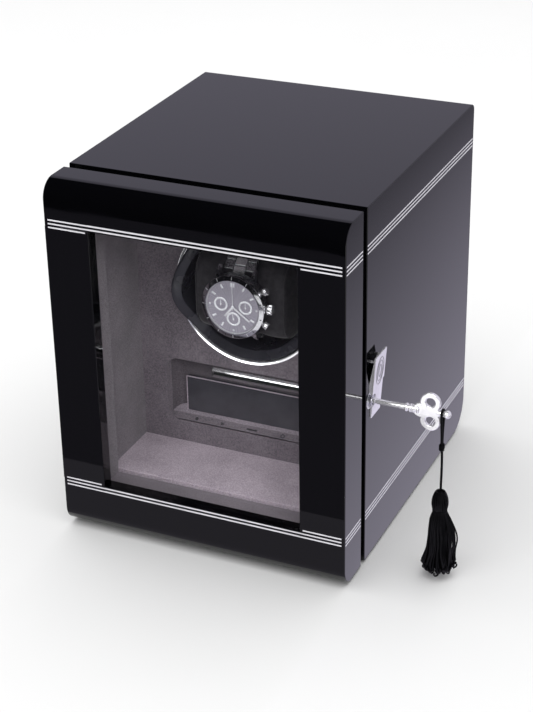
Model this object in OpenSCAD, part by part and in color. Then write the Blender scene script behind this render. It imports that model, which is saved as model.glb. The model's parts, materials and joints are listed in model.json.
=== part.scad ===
// Single watch winder box: a gloss black lacquered case with a glazed door,
// a suede lined compartment, a motor driven cup that turns one watch, and a side lock.
// X runs along the width, +Y towards the back, +Z up. The origin is in the middle of the
// case's underside, and the foot pads reach below it. All sizes are in millimetres.

/* [Case] */
// Width of the case and door
box_w = 185; // [180:1:190]
// Depth of the case with its door closed
box_d = 216; // [214:1:220]
// Height of the lacquered box without its foot pads
box_h = 227; // [226:1:230]
// Thickness of the case walls
wall_t = 15; // [14:0.5:16]
// Thickness of the suede wrapped lining boards
lining_t = 4; // [3.5:0.5:4.5]
// Radius of the lower rear edge
rear_low_r = 20; // [14:1:24]
// Radius of the upper rear edge
rear_top_r = 4.5; // [2:0.5:6]
// Thickness of the foot pads
pad_h = 1.5; // [1:0.5:2]

/* [Door] */
// Thickness of the door
door_t = 25.5; // [24:0.5:26]
// Gap between the door and the case
groove_w = 6; // [6:0.5:7]
// Radius of the upper and lower front edges
door_r = 11.5; // [8:0.5:12]
// Width of the stiles beside the window
stile_w = 28.3; // [27:0.1:29]
// Height of the lower rail, up to the window
low_rail_h = 32.7; // [31:0.1:34]
// Height of the upper rail, down to the window
top_rail_h = 26.8; // [26:0.1:28]
// Thickness of the glass
glass_t = 2.5; // [2:0.5:3]

/* [Inlays] */
// Width of one metal inlay line
line_w = 0.9; // [0.6:0.1:1.2]
// Distance between neighbouring inlay lines
line_pitch = 2.3; // [2:0.1:2.6]
// Depth of the inlay strips in the lacquered panels
line_depth = 0.8; // [0.6:0.1:1]

/* [Winder] */
// Height of the rotor axis above the underside
axis_z = 141.5; // [141:0.5:143]
// Outer radius of the rotor cup
cup_r = 44.5; // [43:0.5:45]
// Wall thickness of the rotor cup
cup_t = 3; // [2.5:0.5:3.5]
// Number of teeth on the rotor gear
gear_n = 60; // [60:15:60]
// Number of teeth on the motor pinion
pinion_n = 15; // [15:15:15]
// Gear module
gear_m = 0.8; // [0.8:0.1:0.8]
// Outside diameter of the watch bezel
bezel_d = 40.5; // [38:0.5:42]

/* [Lock] */
// Height of the key axis above the underside
key_z = 106; // [105:0.5:108]
// Distance from the front of the case to the key axis
key_back = 6.5; // [6.5:0.5:8]
// Distance from the case to the middle of the key's bow
key_reach = 34.5; // [32:0.5:36]

/* [Hidden] */
$fn = 64;
hw = box_w / 2;
y_front = -box_d / 2;
y_back = box_d / 2;
z_low = 0;
z_top = box_h;
y_door = y_front + door_t;
y_case = y_door + groove_w;

// Inner faces of the case walls and of the lining
wall_x = hw - wall_t;
wall_z0 = z_low + wall_t;
wall_z1 = z_top - wall_t;
in_x = wall_x - lining_t;
floor_z = 30.5;
ceil_z = wall_z1 - lining_t;
fascia_y = -35;
fascia_back = fascia_y + lining_t;

// Neck frame in the groove between the door and the case
neck_gap = 0.5;
neck_inset = 4;
neck_y = y_door + neck_gap;

// Window and glazing
win_x = hw - stile_w;
win_z0 = z_low + low_rail_h;
win_z1 = z_top - top_rail_h;
lip_t = 8;
rebate = 7;
glass_y = y_front + lip_t;
keeper_t = 3;

// Inlay heights: the outer two lines of each group cross the rails,
// the inner one only crosses the stiles
low_line_z = 29;
top_line_z = 203.9;
low_lines = [for (i = [0:2]) low_line_z + i * line_pitch];
top_lines = [for (i = [0:2]) top_line_z - i * line_pitch];
side_lines = concat(low_lines, top_lines);
front_inset = 2.2;
stile_line_end = 2;

// Door hinge: its axis lies in the groove at the left
hinge_x = -hw + 2.5;
hinge_y = (y_door + y_case) / 2;
knuckle_r = 2.4;
hinge_pin_r = 1;
hinge_bore_r = 1.05;
leaf_t = 1.2;
leaf_len = 12;
hinge_h = 30;
hinge_zs = [41, 159];
knuckle_h = hinge_h / 3;

// Service cover, its screw blocks, the power socket and the vent slots
back_t = 6;
back_y = y_back - 1 - back_t;
block_size = 14;
block_xs = [-wall_x, wall_x - block_size];
block_zs = [wall_z0 + 8, wall_z1 - block_size];
screw_r = 1.5;
head_r = 3;
jack_x = 40;
jack_z = 38.5;
jack_r = 5.5;
socket_r = 2.9;
vent_n = 7;
vent_x = 24;
vent_z = 120;
vent_pitch = 6;
vent_h = 2.5;

// Foot pads
pad_size = 18;
pad_inset = 4;

// Rotor drive
shaft_r = 3;
shaft_bore_r = 3.05;
cup_floor_y = -9;
hub_r = 9;
plate1_y = 4;
plate2_y = 20;
plate_t = 2.5;
plate_w = 112;
plate_h = 100;
gear_y = 10;
gear_t = 6;
gear_r = gear_m * gear_n / 2;
pinion_r = gear_m * pinion_n / 2;
pinion_x = gear_r + pinion_r;
post_x = 50;
post_z = 43;
motor_r = 12;
motor_len = 30;
motor_shaft_r = 1;

// Cushion and watch
cushion_w = 62;
cushion_h = 50;
cushion_back = -12.5;
cushion_front = -46;
cushion_r = 15;
band_gap = 0.3;
band_t = 2.6;
band_w = 20;
case_front = -53.5;
dial_y = case_front - 1.2;
dial_r = 17;
lug_w = 2.4;
lug_z0 = 10;
lug_z1 = 23;

// Console
tray_x = 57;
tray_z0 = 45;
tray_z1 = 88;
cove_r = 10;
tray_floor_y = -26;
screen_x = 46;
screen_z0 = 50;
screen_z1 = 74;
screen_t = 3;
slot_x = 30;
slot_z0 = 75;
slot_z1 = 82.1;
ledge_z = tray_z0 - 0.8;
ledge_rise = 8.3;
ledge_run = tray_floor_y - fascia_y + 1;
ledge_angle = atan2(ledge_rise, ledge_run);
mark_t = 0.15;

// Lock and key
key_y = y_case + key_back;
lock_r = 5.5;
plug_r = 3.5;
plug_bore_r = 3.55;
key_r = 1.6;
keyway_r = 1.65;
cam_t = 2;
plate_y0 = y_case + 4.5;
plate_y1 = plate_y0 + 17;
plate_z0 = 94.5;
plate_z1 = 134;
bow_x = hw + key_reach;
neck_r = 1.5;
neck_end = bow_x + 10.6;

// Tassel: its cord loops over the neck of the key, and both strands hang together.
// The route starts in the tassel's head and is given around the key's axis, in Y and Z.
cord_x = bow_x + 9.2;
cord_r = 0.6;
tube_n = 8;
head_top = 55.5;
cord_route = [[0.6, -51], [0.5, -47], [0.7, -43], [0.9, -39], [1.0, -35], [0.9, -31],
    [0.7, -27], [0.65, -23], [0.65, -19], [0.75, -15], [1.1, -11], [1.7, -7], [2.25, -3],
    [2.4, -0.5], [2.1, 1.2], [1.2, 2.1], [0, 2.4], [-1.2, 2.1], [-2.1, 1.2], [-2.4, -0.5],
    [-2.25, -3], [-1.7, -7], [-1.1, -11], [-0.75, -15], [-0.65, -19], [-0.6, -22]];

// Colours
lacquer = [0.03, 0.03, 0.04];
suede = [0.42, 0.39, 0.42];
steel = [0.75, 0.76, 0.78];
chrome = [0.88, 0.88, 0.9];
plastic = [0.06, 0.06, 0.07];

// ---- helpers ----

// A box between two corners
module block(x0, x1, y0, y1, z0, z1) {
    translate([x0, y0, z0])
        cube([x1 - x0, y1 - y0, z1 - z0]);
}

// Extrudes an outline drawn in Y and Z along X
module along_x(x0, x1) {
    translate([x0, 0, 0])
        rotate([90, 0, 90])
            linear_extrude(x1 - x0)
                children();
}

// Extrudes an outline drawn in X and Z along Y
module along_y(y0, y1) {
    translate([0, y1, 0])
        rotate([90, 0, 0])
            linear_extrude(y1 - y0)
                children();
}

// A rod along Y
module rod_y(r, y0, y1, x = 0, z = 0) {
    translate([x, y1, z])
        rotate([90, 0, 0])
            cylinder(r = r, h = y1 - y0);
}

// A rod along X
module rod_x(r, x0, x1, y, z) {
    translate([x0, y, z])
        rotate([0, 90, 0])
            cylinder(r = r, h = x1 - x0);
}

// The sliver that rounding removes from a corner; sx and sy point inwards
module corner_cut(x, y, r, sx, sy) {
    translate([x, y])
        scale([sx, sy])
            difference() {
                translate([-1, -1])
                    square(r + 1);
                translate([r, r])
                    circle(r, $fn = 96);
            }
}

// A rectangle with round corners, from exact arcs
module round_rect(x0, x1, y0, y1, r) {
    translate([x0 + r, y0])
        square([x1 - x0 - 2 * r, y1 - y0]);
    translate([x0, y0 + r])
        square([x1 - x0, y1 - y0 - 2 * r]);
    for (x = [x0 + r, x1 - r])
        for (y = [y0 + r, y1 - r])
            translate([x, y])
                circle(r);
}

// ---- case ----

// Side outline of the case, with its round rear edges
module case_outline() {
    difference() {
        translate([y_case, z_low])
            square([y_back - y_case, box_h]);
        corner_cut(y_back, z_low, rear_low_r, -1, 1);
        corner_cut(y_back, z_top, rear_top_r, -1, -1);
    }
}

// Grooves for the inlay strips in the side of the case; side is -1 or 1
module case_lines(side) {
    for (z = side_lines)
        block(side > 0 ? hw - line_depth : -hw, side > 0 ? hw : -hw + line_depth,
              y_case + 0.5, y_back - 1.5, z - line_w / 2, z + line_w / 2);
}

module left_side_panel() {
    color(lacquer)
        difference() {
            along_x(-hw, -wall_x)
                case_outline();
            case_lines(-1);
            hinge_mortises();
        }
}

module right_side_panel() {
    color(lacquer)
        difference() {
            along_x(wall_x, hw)
                case_outline();
            case_lines(1);
            rod_x(lock_r, wall_x - 1, hw + 1, key_y, key_z);
        }
}

module top_panel() {
    color(lacquer)
        along_x(-wall_x, wall_x)
            intersection() {
                case_outline();
                translate([y_case, wall_z1])
                    square([box_d, wall_t]);
            }
}

module bottom_panel() {
    color(lacquer)
        along_x(-wall_x, wall_x)
            intersection() {
                case_outline();
                translate([y_case, z_low])
                    square([box_d, wall_t]);
            }
}

// Service cover, let in between the case panels
module back_panel() {
    color(plastic)
        difference() {
            block(-wall_x, wall_x, back_y, back_y + back_t, wall_z0, wall_z1);
            back_screw_places()
                rod_y(screw_r + 0.1, back_y - 1, y_back);
            back_screw_places()
                rod_y(head_r + 0.2, back_y + back_t - 2, y_back);
            rod_y(jack_r, back_y - 1, y_back, jack_x, jack_z);
            for (i = [0:vent_n - 1])
                block(-vent_x, vent_x, back_y - 1, y_back,
                      vent_z + i * vent_pitch, vent_z + i * vent_pitch + vent_h);
        }
}

module back_screw_places() {
    for (bx = block_xs)
        for (bz = block_zs)
            translate([bx + block_size / 2, 0, bz + block_size / 2])
                children();
}

// Round head screws with a cross slot, sunk into the cover
module back_panel_screws() {
    color(steel)
        back_screw_places()
            difference() {
                union() {
                    rod_y(head_r, back_y + back_t - 1.95, back_y + back_t - 0.3);
                    rod_y(screw_r, back_y - 8, back_y + back_t - 1.9);
                }
                block(-2, 2, back_y + back_t - 1.1, y_back, -0.3, 0.3);
                block(-0.3, 0.3, back_y + back_t - 1.1, y_back, -2, 2);
            }
}

// Glue blocks that take the cover's screws
module corner_blocks() {
    color([0.6, 0.45, 0.3])
        for (bx = block_xs)
            for (bz = block_zs)
                difference() {
                    block(bx, bx + block_size, back_y - 14, back_y, bz, bz + block_size);
                    rod_y(screw_r, back_y - 9, back_y + 1, bx + block_size / 2, bz + block_size / 2);
                }
}

// Black frame glued on the front edges of the case, set in from the outside
module neck_frame() {
    color([0.02, 0.02, 0.02])
        difference() {
            block(-hw + neck_inset, hw - neck_inset, neck_y, y_case,
                  z_low + neck_inset, z_top - neck_inset);
            block(-wall_x, wall_x, neck_y - 1, y_case + 1, floor_z - lining_t, wall_z1);
            for (z = hinge_zs)
                block(-hw, hinge_x + 3.4, neck_y - 1, y_case + 1, z - 0.6, z + hinge_h + 0.6);
        }
}

module left_inlays() {
    color(chrome)
        case_lines(-1);
}

module right_inlays() {
    color(chrome)
        case_lines(1);
}

module lining_left() {
    color(suede)
        block(-wall_x, -in_x, neck_y + 0.5, fascia_back, floor_z, ceil_z);
}

// The right lining board has a pocket on its outer face for the lock cam
module lining_right() {
    color(suede)
        difference() {
            block(in_x, wall_x, neck_y + 0.5, fascia_back, floor_z, ceil_z);
            block(in_x + 1, wall_x + 1, neck_y - 1, key_y + 7, key_z - 6, key_z + 17);
        }
}

module lining_ceiling() {
    color(suede)
        block(-wall_x, wall_x, neck_y + 0.5, fascia_back, ceil_z, wall_z1);
}

module lining_floor() {
    color([0.57, 0.53, 0.56])
        block(-wall_x, wall_x, neck_y + 0.5, fascia_back, floor_z - lining_t, floor_z);
}

// Board that lifts the lined floor to the height of the door rail
module floor_plinth() {
    color([0.6, 0.45, 0.3])
        block(-wall_x, wall_x, y_case, fascia_back, wall_z0, floor_z - lining_t);
}

module foot_pads() {
    color([0.78, 0.77, 0.76])
        for (x = [-hw + pad_inset, hw - pad_inset - pad_size])
            for (y = [y_case + 3, y_back - rear_low_r - pad_size])
                translate([0, 0, -pad_h])
                    linear_extrude(pad_h)
                        round_rect(x, x + pad_size, y, y + pad_size, 3);
}

// ---- fascia and console ----

// The console recess: coved ends, a flat back and a sloping ledge below
module console_pocket() {
    intersection() {
        translate([0, 0, tray_z0])
            linear_extrude(tray_z1 - tray_z0) {
                translate([-tray_x + cove_r, fascia_y - 1])
                    square([2 * (tray_x - cove_r), tray_floor_y - fascia_y + 1]);
                for (x = [-tray_x + cove_r, tray_x - cove_r])
                    translate([x, tray_floor_y - cove_r])
                        circle(cove_r);
            }
        along_y(fascia_y - 1, tray_floor_y)
            round_rect(-tray_x, tray_x, tray_z0, tray_z1, 8);
        along_x(-tray_x, tray_x)
            polygon([[fascia_y - 1, ledge_z], [tray_floor_y, ledge_z + ledge_rise],
                     [tray_floor_y, tray_z1], [fascia_y - 1, tray_z1]]);
    }
}

module fascia_panel() {
    color(suede)
        difference() {
            block(-in_x, in_x, fascia_y, fascia_back, floor_z, ceil_z);
            rod_y(cup_r + 1.1, fascia_y - 1, fascia_back + 1, 0, axis_z);
            console_pocket();
            post_places()
                rod_y(1.6, fascia_y + 1.5, fascia_back + 1);
        }
}

// Bright trim ring around the rotor
module aperture_ring() {
    color(chrome)
        translate([0, fascia_y, axis_z])
            rotate([90, 0, 0])
                rotate_extrude($fn = 128)
                    translate([cup_r + 0.7, 0])
                        ring_section();
}

module ring_section() {
    translate([0, -1.5])
        square([0.4, 1.5]);
    square([2.2, 0.5]);
    translate([1.1, 0.8])
        circle(0.8, $fn = 32);
}

module console_tray() {
    color(suede)
        difference() {
            block(-tray_x - 3, tray_x + 3, fascia_back, tray_floor_y + 3, tray_z0 - 3, tray_z1 + 3);
            console_pocket();
            block(-slot_x, slot_x, tray_floor_y - 1, tray_floor_y + 4, slot_z0, slot_z1);
            display_blank();
            block(-screen_x + 6, screen_x - 6, tray_floor_y - 1, tray_floor_y + 4,
                  screen_z0 + 4, screen_z1 - 4);
        }
}

module display_blank() {
    along_y(tray_floor_y - screen_t, tray_floor_y)
        round_rect(-screen_x, screen_x, screen_z0, screen_z1, 0.8);
}

// Black glossy plate in a rebate of the tray, over the display
module display_window() {
    color([0.02, 0.02, 0.025])
        display_blank();
}

// Circuit board with the display glass that shows through the window
module display_module() {
    color([0.05, 0.25, 0.12])
        difference() {
            block(-54, 54, tray_floor_y + 3, tray_floor_y + 4.6, 48.5, 86.5);
            for (x = [-50, 50])
                rod_y(1.2, tray_floor_y, tray_floor_y + 6, x, 82.5);
        }
    color([0.1, 0.1, 0.12])
        block(-38, 38, tray_floor_y, tray_floor_y + 3, screen_z0 + 5, screen_z1 - 5);
}

// Bright bar along the top of the slot above the display
module light_bar() {
    color(chrome)
        along_x(-slot_x + 0.3, slot_x - 0.3) {
            translate([tray_floor_y + 0.4, slot_z1 - 2.4])
                square([2, 2.2]);
            translate([tray_floor_y + 0.4, slot_z1 - 1.3])
                circle(1.1, $fn = 32);
        }
}

// Plain function marks on the ledge: a dot, a triangle, a bar and a ring
module console_markings() {
    color([0.15, 0.14, 0.16])
        mark_plane() {
            translate([-38, 0])
                circle(1.1, $fn = 24);
            translate([-20, 0])
                polygon([[-1.2, -1.2], [1.4, 0], [-1.2, 1.2]]);
            translate([0, 0])
                square([7, 1], center = true);
            translate([21, 0])
                difference() {
                    circle(1.4, $fn = 32);
                    circle(0.8, $fn = 32);
                }
        }
}

// Places thin marks on the sloping ledge
module mark_plane() {
    translate([0, fascia_y - 1, ledge_z])
        rotate([ledge_angle, 0, 0])
            translate([0, 4, 0])
                linear_extrude(mark_t)
                    children();
}

// ---- drive ----

module post_places() {
    for (x = [-post_x, post_x])
        for (z = [axis_z - post_z, axis_z + post_z])
            translate([x, 0, z])
                children();
}

module drive_plate(y) {
    difference() {
        along_y(y, y + plate_t)
            round_rect(-plate_w / 2, plate_w / 2, axis_z - plate_h / 2, axis_z + plate_h / 2, 6);
        rod_y(5, y - 1, y + plate_t + 1, 0, axis_z);
        post_places()
            rod_y(1.6, y - 1, y + plate_t + 1);
        children();
    }
}

module front_plate() {
    color(steel)
        drive_plate(plate1_y);
}

module rear_plate() {
    color(steel)
        drive_plate(plate2_y)
            rod_y(4, plate2_y - 1, plate2_y + plate_t + 1, pinion_x, axis_z);
}

// Posts between the fascia and the two plates
module plate_posts() {
    color([0.8, 0.7, 0.4])
        post_places() {
            difference() {
                rod_y(4, fascia_back, plate1_y);
                rod_y(1.5, fascia_back - 1, plate1_y + 1);
            }
            difference() {
                rod_y(4, plate1_y + plate_t, plate2_y);
                rod_y(1.5, plate1_y, plate2_y + 1);
            }
        }
}

// Long screws through the plates into the fascia board
module plate_screws() {
    color(steel)
        post_places()
            difference() {
                union() {
                    rod_y(1.5, fascia_y + 1.6, plate2_y + plate_t);
                    rod_y(3, plate2_y + plate_t, plate2_y + plate_t + 2);
                }
                translate([0, plate2_y + plate_t + 2, 0])
                    rotate([-90, 0, 0])
                        translate([0, 0, -1.2])
                            cylinder(r = 1.5, h = 3, $fn = 6);
            }
}

module shaft_bushes() {
    color([0.72, 0.55, 0.3])
        for (y = [plate1_y, plate2_y])
            translate([0, 0, axis_z])
                difference() {
                    union() {
                        rod_y(5, y - 1, y + plate_t + 1);
                        rod_y(6.5, y - 1.5, y);
                    }
                    rod_y(shaft_bore_r, y - 3, y + plate_t + 3);
                }
}

module drive_motor() {
    color(steel)
        translate([pinion_x, 0, axis_z])
            difference() {
                union() {
                    rod_y(motor_r, plate2_y + plate_t, plate2_y + plate_t + motor_len);
                    rod_y(3.9, plate2_y + 0.2, plate2_y + plate_t);
                    rod_y(4, plate2_y + plate_t + motor_len, plate2_y + plate_t + motor_len + 2);
                }
                rod_y(motor_shaft_r + 0.05, plate2_y - 1, plate2_y + plate_t + 20);
                for (s = [-1, 1])
                    block(-motor_r - 1, motor_r + 1, plate2_y + plate_t + 3, plate2_y + plate_t + 22,
                          s > 0 ? motor_r - 1.5 : -motor_r - 1, s > 0 ? motor_r + 1 : -motor_r + 1.5);
            }
}

module control_board() {
    color([0.05, 0.3, 0.15])
        difference() {
            block(-60, 20, 60, 61.6, wall_z0, 84);
            for (x = [-56, 16])
                for (z = [28, 80])
                    rod_y(1.6, 59, 63, x, z);
        }
    color([0.1, 0.1, 0.1]) {
        block(-30, -12, 61.6, 64, 44, 62);
        block(-52, -42, 61.6, 70, 30, 44);
        rod_y(4, 61.6, 73, 4, 40);
        rod_y(4, 61.6, 73, 4, 52);
    }
}

// Socket for the mains adapter's plug, with its centre pin
module dc_jack() {
    color([0.05, 0.05, 0.05])
        difference() {
            union() {
                rod_y(jack_r, back_y - 10, back_y + back_t, jack_x, jack_z);
                rod_y(8, back_y - 3, back_y, jack_x, jack_z);
            }
            rod_y(socket_r, back_y - 7, y_back + 1, jack_x, jack_z);
        }
    color(chrome)
        rod_y(1, back_y - 8, back_y + back_t - 1, jack_x, jack_z);
}

// ---- door hinges ----

// Pockets in the front edge of the left case panel
module hinge_mortises() {
    for (z = hinge_zs)
        block(hinge_x - 1.2, hinge_x + leaf_len, y_case - 1, y_case + leaf_t, z, z + hinge_h);
}

module case_hinge_leaves() {
    color([0.8, 0.7, 0.45])
        for (z = hinge_zs)
            difference() {
                union() {
                    block(hinge_x - 1.2, hinge_x + leaf_len, y_case, y_case + leaf_t, z, z + hinge_h);
                    block(hinge_x - 1, hinge_x + 1, hinge_y, y_case + leaf_t,
                          z + knuckle_h + 0.1, z + 2 * knuckle_h - 0.1);
                    translate([hinge_x, hinge_y, z + knuckle_h + 0.1])
                        cylinder(r = knuckle_r, h = knuckle_h - 0.2);
                }
                translate([hinge_x, hinge_y, z - 1])
                    cylinder(r = hinge_pin_r, h = hinge_h + 2);
            }
}

module hinge_pins() {
    color([0.8, 0.7, 0.45])
        for (z = hinge_zs)
            translate([hinge_x, hinge_y, z])
                cylinder(r = hinge_pin_r, h = hinge_h);
}

module door_hinge_leaves() {
    color([0.8, 0.7, 0.45])
        for (z = hinge_zs)
            difference() {
                union() {
                    block(hinge_x - 1, hinge_x + leaf_len, y_door - leaf_t, y_door, z, z + hinge_h);
                    for (k = [0, 2])
                        translate([hinge_x, hinge_y, z + k * knuckle_h]) {
                            cylinder(r = knuckle_r, h = knuckle_h);
                            translate([-1, y_door - leaf_t - hinge_y, 0])
                                cube([2, hinge_y - y_door + leaf_t, knuckle_h]);
                        }
                }
                translate([hinge_x, hinge_y, z - 1])
                    cylinder(r = hinge_bore_r, h = hinge_h + 2);
            }
}

// ---- door ----

// Side outline of the door with its round front edges
module door_outline() {
    difference() {
        translate([y_front, z_low])
            square([door_t, box_h]);
        corner_cut(y_front, z_low, door_r, 1, 1);
        corner_cut(y_front, z_top, door_r, 1, -1);
    }
}

// Space for the glass and its keeper behind the window lip
module glazing_space() {
    block(-win_x - rebate, win_x + rebate, glass_y, y_door + 1, win_z0 - rebate, win_z1 + rebate);
}

// Inlay strips in the front of the door
module front_lines() {
    for (z = [low_lines[0], low_lines[1], top_lines[0], top_lines[1]])
        block(-hw + front_inset, hw - front_inset, y_front, y_front + line_depth,
              z - line_w / 2, z + line_w / 2);
    for (z = [low_lines[2], top_lines[2]])
        for (s = [-1, 1])
            block(s > 0 ? win_x + stile_line_end : -hw + front_inset,
                  s > 0 ? hw - front_inset : -win_x - stile_line_end,
                  y_front, y_front + line_depth, z - line_w / 2, z + line_w / 2);
}

// Inlay strips in both edges of the door
module edge_lines() {
    for (z = side_lines)
        for (s = [-1, 1])
            block(s > 0 ? hw - line_depth : -hw, s > 0 ? hw : -hw + line_depth,
                  y_front + 1, y_door - 0.8, z - line_w / 2, z + line_w / 2);
}

module door_rail(z0, z1) {
    color(lacquer)
        difference() {
            along_x(-hw, hw)
                intersection() {
                    door_outline();
                    translate([y_front, z0])
                        square([door_t, z1 - z0]);
                }
            glazing_space();
            front_lines();
            edge_lines();
        }
}

module door_top_rail() {
    door_rail(win_z1, z_top);
}

module door_bottom_rail() {
    door_rail(z_low, win_z0);
}

module door_left_stile() {
    color(lacquer)
        difference() {
            block(-hw, -win_x, y_front, y_door, win_z0, win_z1);
            glazing_space();
            front_lines();
            edge_lines();
            for (z = hinge_zs)
                block(hinge_x - 1, hinge_x + leaf_len, y_door - leaf_t, y_door + 1, z, z + hinge_h);
        }
}

module door_right_stile() {
    color(lacquer)
        difference() {
            block(win_x, hw, y_front, y_door, win_z0, win_z1);
            glazing_space();
            front_lines();
            edge_lines();
            strike_pocket();
            strike_mortise();
        }
}

module door_front_inlays() {
    color(chrome)
        front_lines();
}

module door_side_inlays() {
    color(chrome)
        edge_lines();
}

module door_glass() {
    color([0.6, 0.65, 0.7, 0.25])
        block(-win_x - rebate + 0.3, win_x + rebate - 0.3, glass_y, glass_y + glass_t,
              win_z0 - rebate + 0.3, win_z1 + rebate - 0.3);
}

// Suede wrapped frame that holds the glass against the window lip
module glass_keeper() {
    color(suede)
        difference() {
            block(-win_x - rebate, win_x + rebate, glass_y + glass_t, y_door - 0.3,
                  win_z0 - rebate, win_z1 + rebate);
            block(-win_x - rebate + keeper_t, win_x + rebate - keeper_t, glass_y, y_door + 1,
                  win_z0 - rebate + keeper_t, win_z1 + rebate - keeper_t);
        }
}

// Pocket for the lock cam in the back of the right stile
module strike_pocket() {
    block(in_x + 0.8, wall_x + 2, y_door - 7, y_door + 1, key_z - 5, key_z + 12);
}

module strike_mortise() {
    block(in_x - 1.2, wall_x + 4, y_door - leaf_t, y_door + 0.001, key_z - 11, key_z + 18);
}

module strike_plate() {
    color(chrome)
        difference() {
            block(in_x - 1.2, wall_x + 4, y_door - leaf_t, y_door, key_z - 11, key_z + 18);
            strike_pocket();
        }
}

// ---- rotor ----

// Cup with two round cheeks that stand forward beside the watch
module rotor_cup() {
    color(plastic)
        difference() {
            union() {
                rod_y(cup_r, fascia_y, cup_floor_y + cup_t, 0, axis_z);
                intersection() {
                    rod_y(cup_r, fascia_y - 16, fascia_y + 1, 0, axis_z);
                    rod_x(24, -60, 60, fascia_y + 11, axis_z);
                }
                rod_y(hub_r, cup_floor_y + 1, cup_floor_y + cup_t + 5, 0, axis_z);
            }
            rod_y(cup_r - cup_t, fascia_y - 20, cup_floor_y, 0, axis_z);
            rod_y(shaft_r, cup_floor_y - 1, cup_floor_y + cup_t + 8, 0, axis_z);
        }
}

module rotor_shaft() {
    color(steel)
        rod_y(shaft_r, cup_floor_y, plate2_y + plate_t + 4, 0, axis_z);
}

// Outline of a spur gear with straight sided teeth
module gear_outline(n, tip, root) {
    step = 360 / n;
    polygon([for (i = [0:n - 1])
        for (p = [[root, -0.3], [tip, -0.1], [tip, 0.1], [root, 0.3]])
            [p[0] * cos((i + p[1]) * step), p[0] * sin((i + p[1]) * step)]]);
}

module rotor_gear() {
    color([0.85, 0.85, 0.82])
        translate([0, gear_y + gear_t, axis_z])
            rotate([90, 0, 0])
                difference() {
                    union() {
                        linear_extrude(gear_t)
                            gear_outline(gear_n, gear_r + gear_m * 0.8, gear_r - gear_m * 1.1);
                        cylinder(r = 7, h = gear_t + 1.5);
                    }
                    translate([0, 0, -1])
                        cylinder(r = shaft_r, h = gear_t + 4);
                    for (i = [0:5])
                        rotate(i * 60)
                            translate([14, 0, -1])
                                cylinder(r = 4, h = gear_t + 4);
                }
}

module motor_pinion() {
    color([0.8, 0.7, 0.45])
        translate([pinion_x, gear_y + gear_t, axis_z])
            rotate([90, 0, 0])
                rotate(180 + 180 / pinion_n)
                    linear_extrude(gear_t)
                        gear_outline(pinion_n, pinion_r + gear_m * 0.8, pinion_r - gear_m * 1.1);
    color(steel)
        rod_y(motor_shaft_r, gear_y + gear_t, plate2_y + plate_t + 18, pinion_x, axis_z);
}

// ---- cushion and watch ----

module cushion_outline(grow) {
    round_rect(cushion_front - grow, cushion_back + grow,
               axis_z - cushion_h / 2 - grow, axis_z + cushion_h / 2 + grow, cushion_r + grow);
}

module watch_cushion() {
    color([0.03, 0.03, 0.035])
        along_x(-cushion_w / 2, cushion_w / 2)
            cushion_outline(0);
}

// Links run around the cushion, with gaps between their rows
module watch_bracelet() {
    color(steel)
        difference() {
            along_x(-band_w / 2, band_w / 2)
                difference() {
                    cushion_outline(band_gap + band_t);
                    cushion_outline(band_gap);
                }
            // Room for the case
            rod_y(bezel_d / 2 + 0.2, cushion_front - 10, cushion_front + 4, 0, axis_z);
        }
}

// Case with its four lugs, crown and two pushers
module watch_case() {
    color(steel) {
        difference() {
            union() {
                rod_y(bezel_d / 2 - 0.8, case_front, cushion_front - band_gap, 0, axis_z);
                rod_y(bezel_d / 2, case_front - 3, case_front, 0, axis_z);
                for (x = [-band_w / 2 - lug_w, band_w / 2])
                    for (z = [axis_z + lug_z0, axis_z - lug_z1])
                        block(x, x + lug_w, case_front + 1, cushion_front - band_gap,
                              z, z + lug_z1 - lug_z0);
            }
            rod_y(17.2, case_front - 4, case_front - 1.2, 0, axis_z);
        }
        for (p = [[0, 3.2, 5], [31, 2.5, 4.2], [-31, 2.5, 4.2]])
            translate([0, (case_front + cushion_front) / 2 - 0.6, axis_z])
                rotate([0, p[0], 0])
                    translate([bezel_d / 2 - 1.2, 0, 0])
                        rotate([0, 90, 0])
                            cylinder(r = p[1], h = p[2]);
    }
}

// Dial with markers, three small ring dials and hands
module watch_dial() {
    color([0.25, 0.25, 0.28])
        rod_y(dial_r, dial_y - 0.3, dial_y, 0, axis_z);
    color(chrome)
        along_y(dial_y - 0.5, dial_y - 0.3)
            translate([0, axis_z]) {
                for (p = [[-8.2, 0.8], [8.2, 0.8], [0, -8]])
                    translate(p)
                        difference() {
                            circle(4.3);
                            circle(3.4);
                        }
                for (a = [0:30:330])
                    rotate(a)
                        translate([0, 14.4])
                            square([1, 2.6], center = true);
            }
}

module watch_crystal() {
    color([0.8, 0.85, 0.9, 0.3])
        rod_y(17.1, case_front - 3.4, dial_y - 1, 0, axis_z);
}

// ---- lock, key and tassel ----

module lock_housing() {
    color([0.8, 0.7, 0.45])
        difference() {
            rod_x(lock_r, wall_x, hw, key_y, key_z);
            rod_x(plug_bore_r, wall_x - 1, hw + 1, key_y, key_z);
        }
}

// Chrome plate whose upper part stands further out from the case
module escutcheon() {
    color(chrome)
        difference() {
            translate([0, plate_y0, 0])
                rotate([90, 0, 0])
                    translate([0, 0, -(plate_y1 - plate_y0)])
                        linear_extrude(plate_y1 - plate_y0)
                            polygon([[hw, plate_z0], [hw + 1.2, plate_z0], [hw + 4.4, plate_z1],
                                     [hw + 3.2, plate_z1], [hw, plate_z0 + 22]]);
            rod_x(plug_bore_r + 0.3, hw - 1, hw + 8, key_y, key_z);
            // Steps in the two long edges
            block(hw - 1, hw + 8, plate_y0 - 1, plate_y0 + 1.2, plate_z0 - 1, plate_z0 + 15.5);
            block(hw - 1, hw + 8, plate_y1 - 1.8, plate_y1 + 1, plate_z0 - 1, plate_z0 + 20);
        }
}

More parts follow.
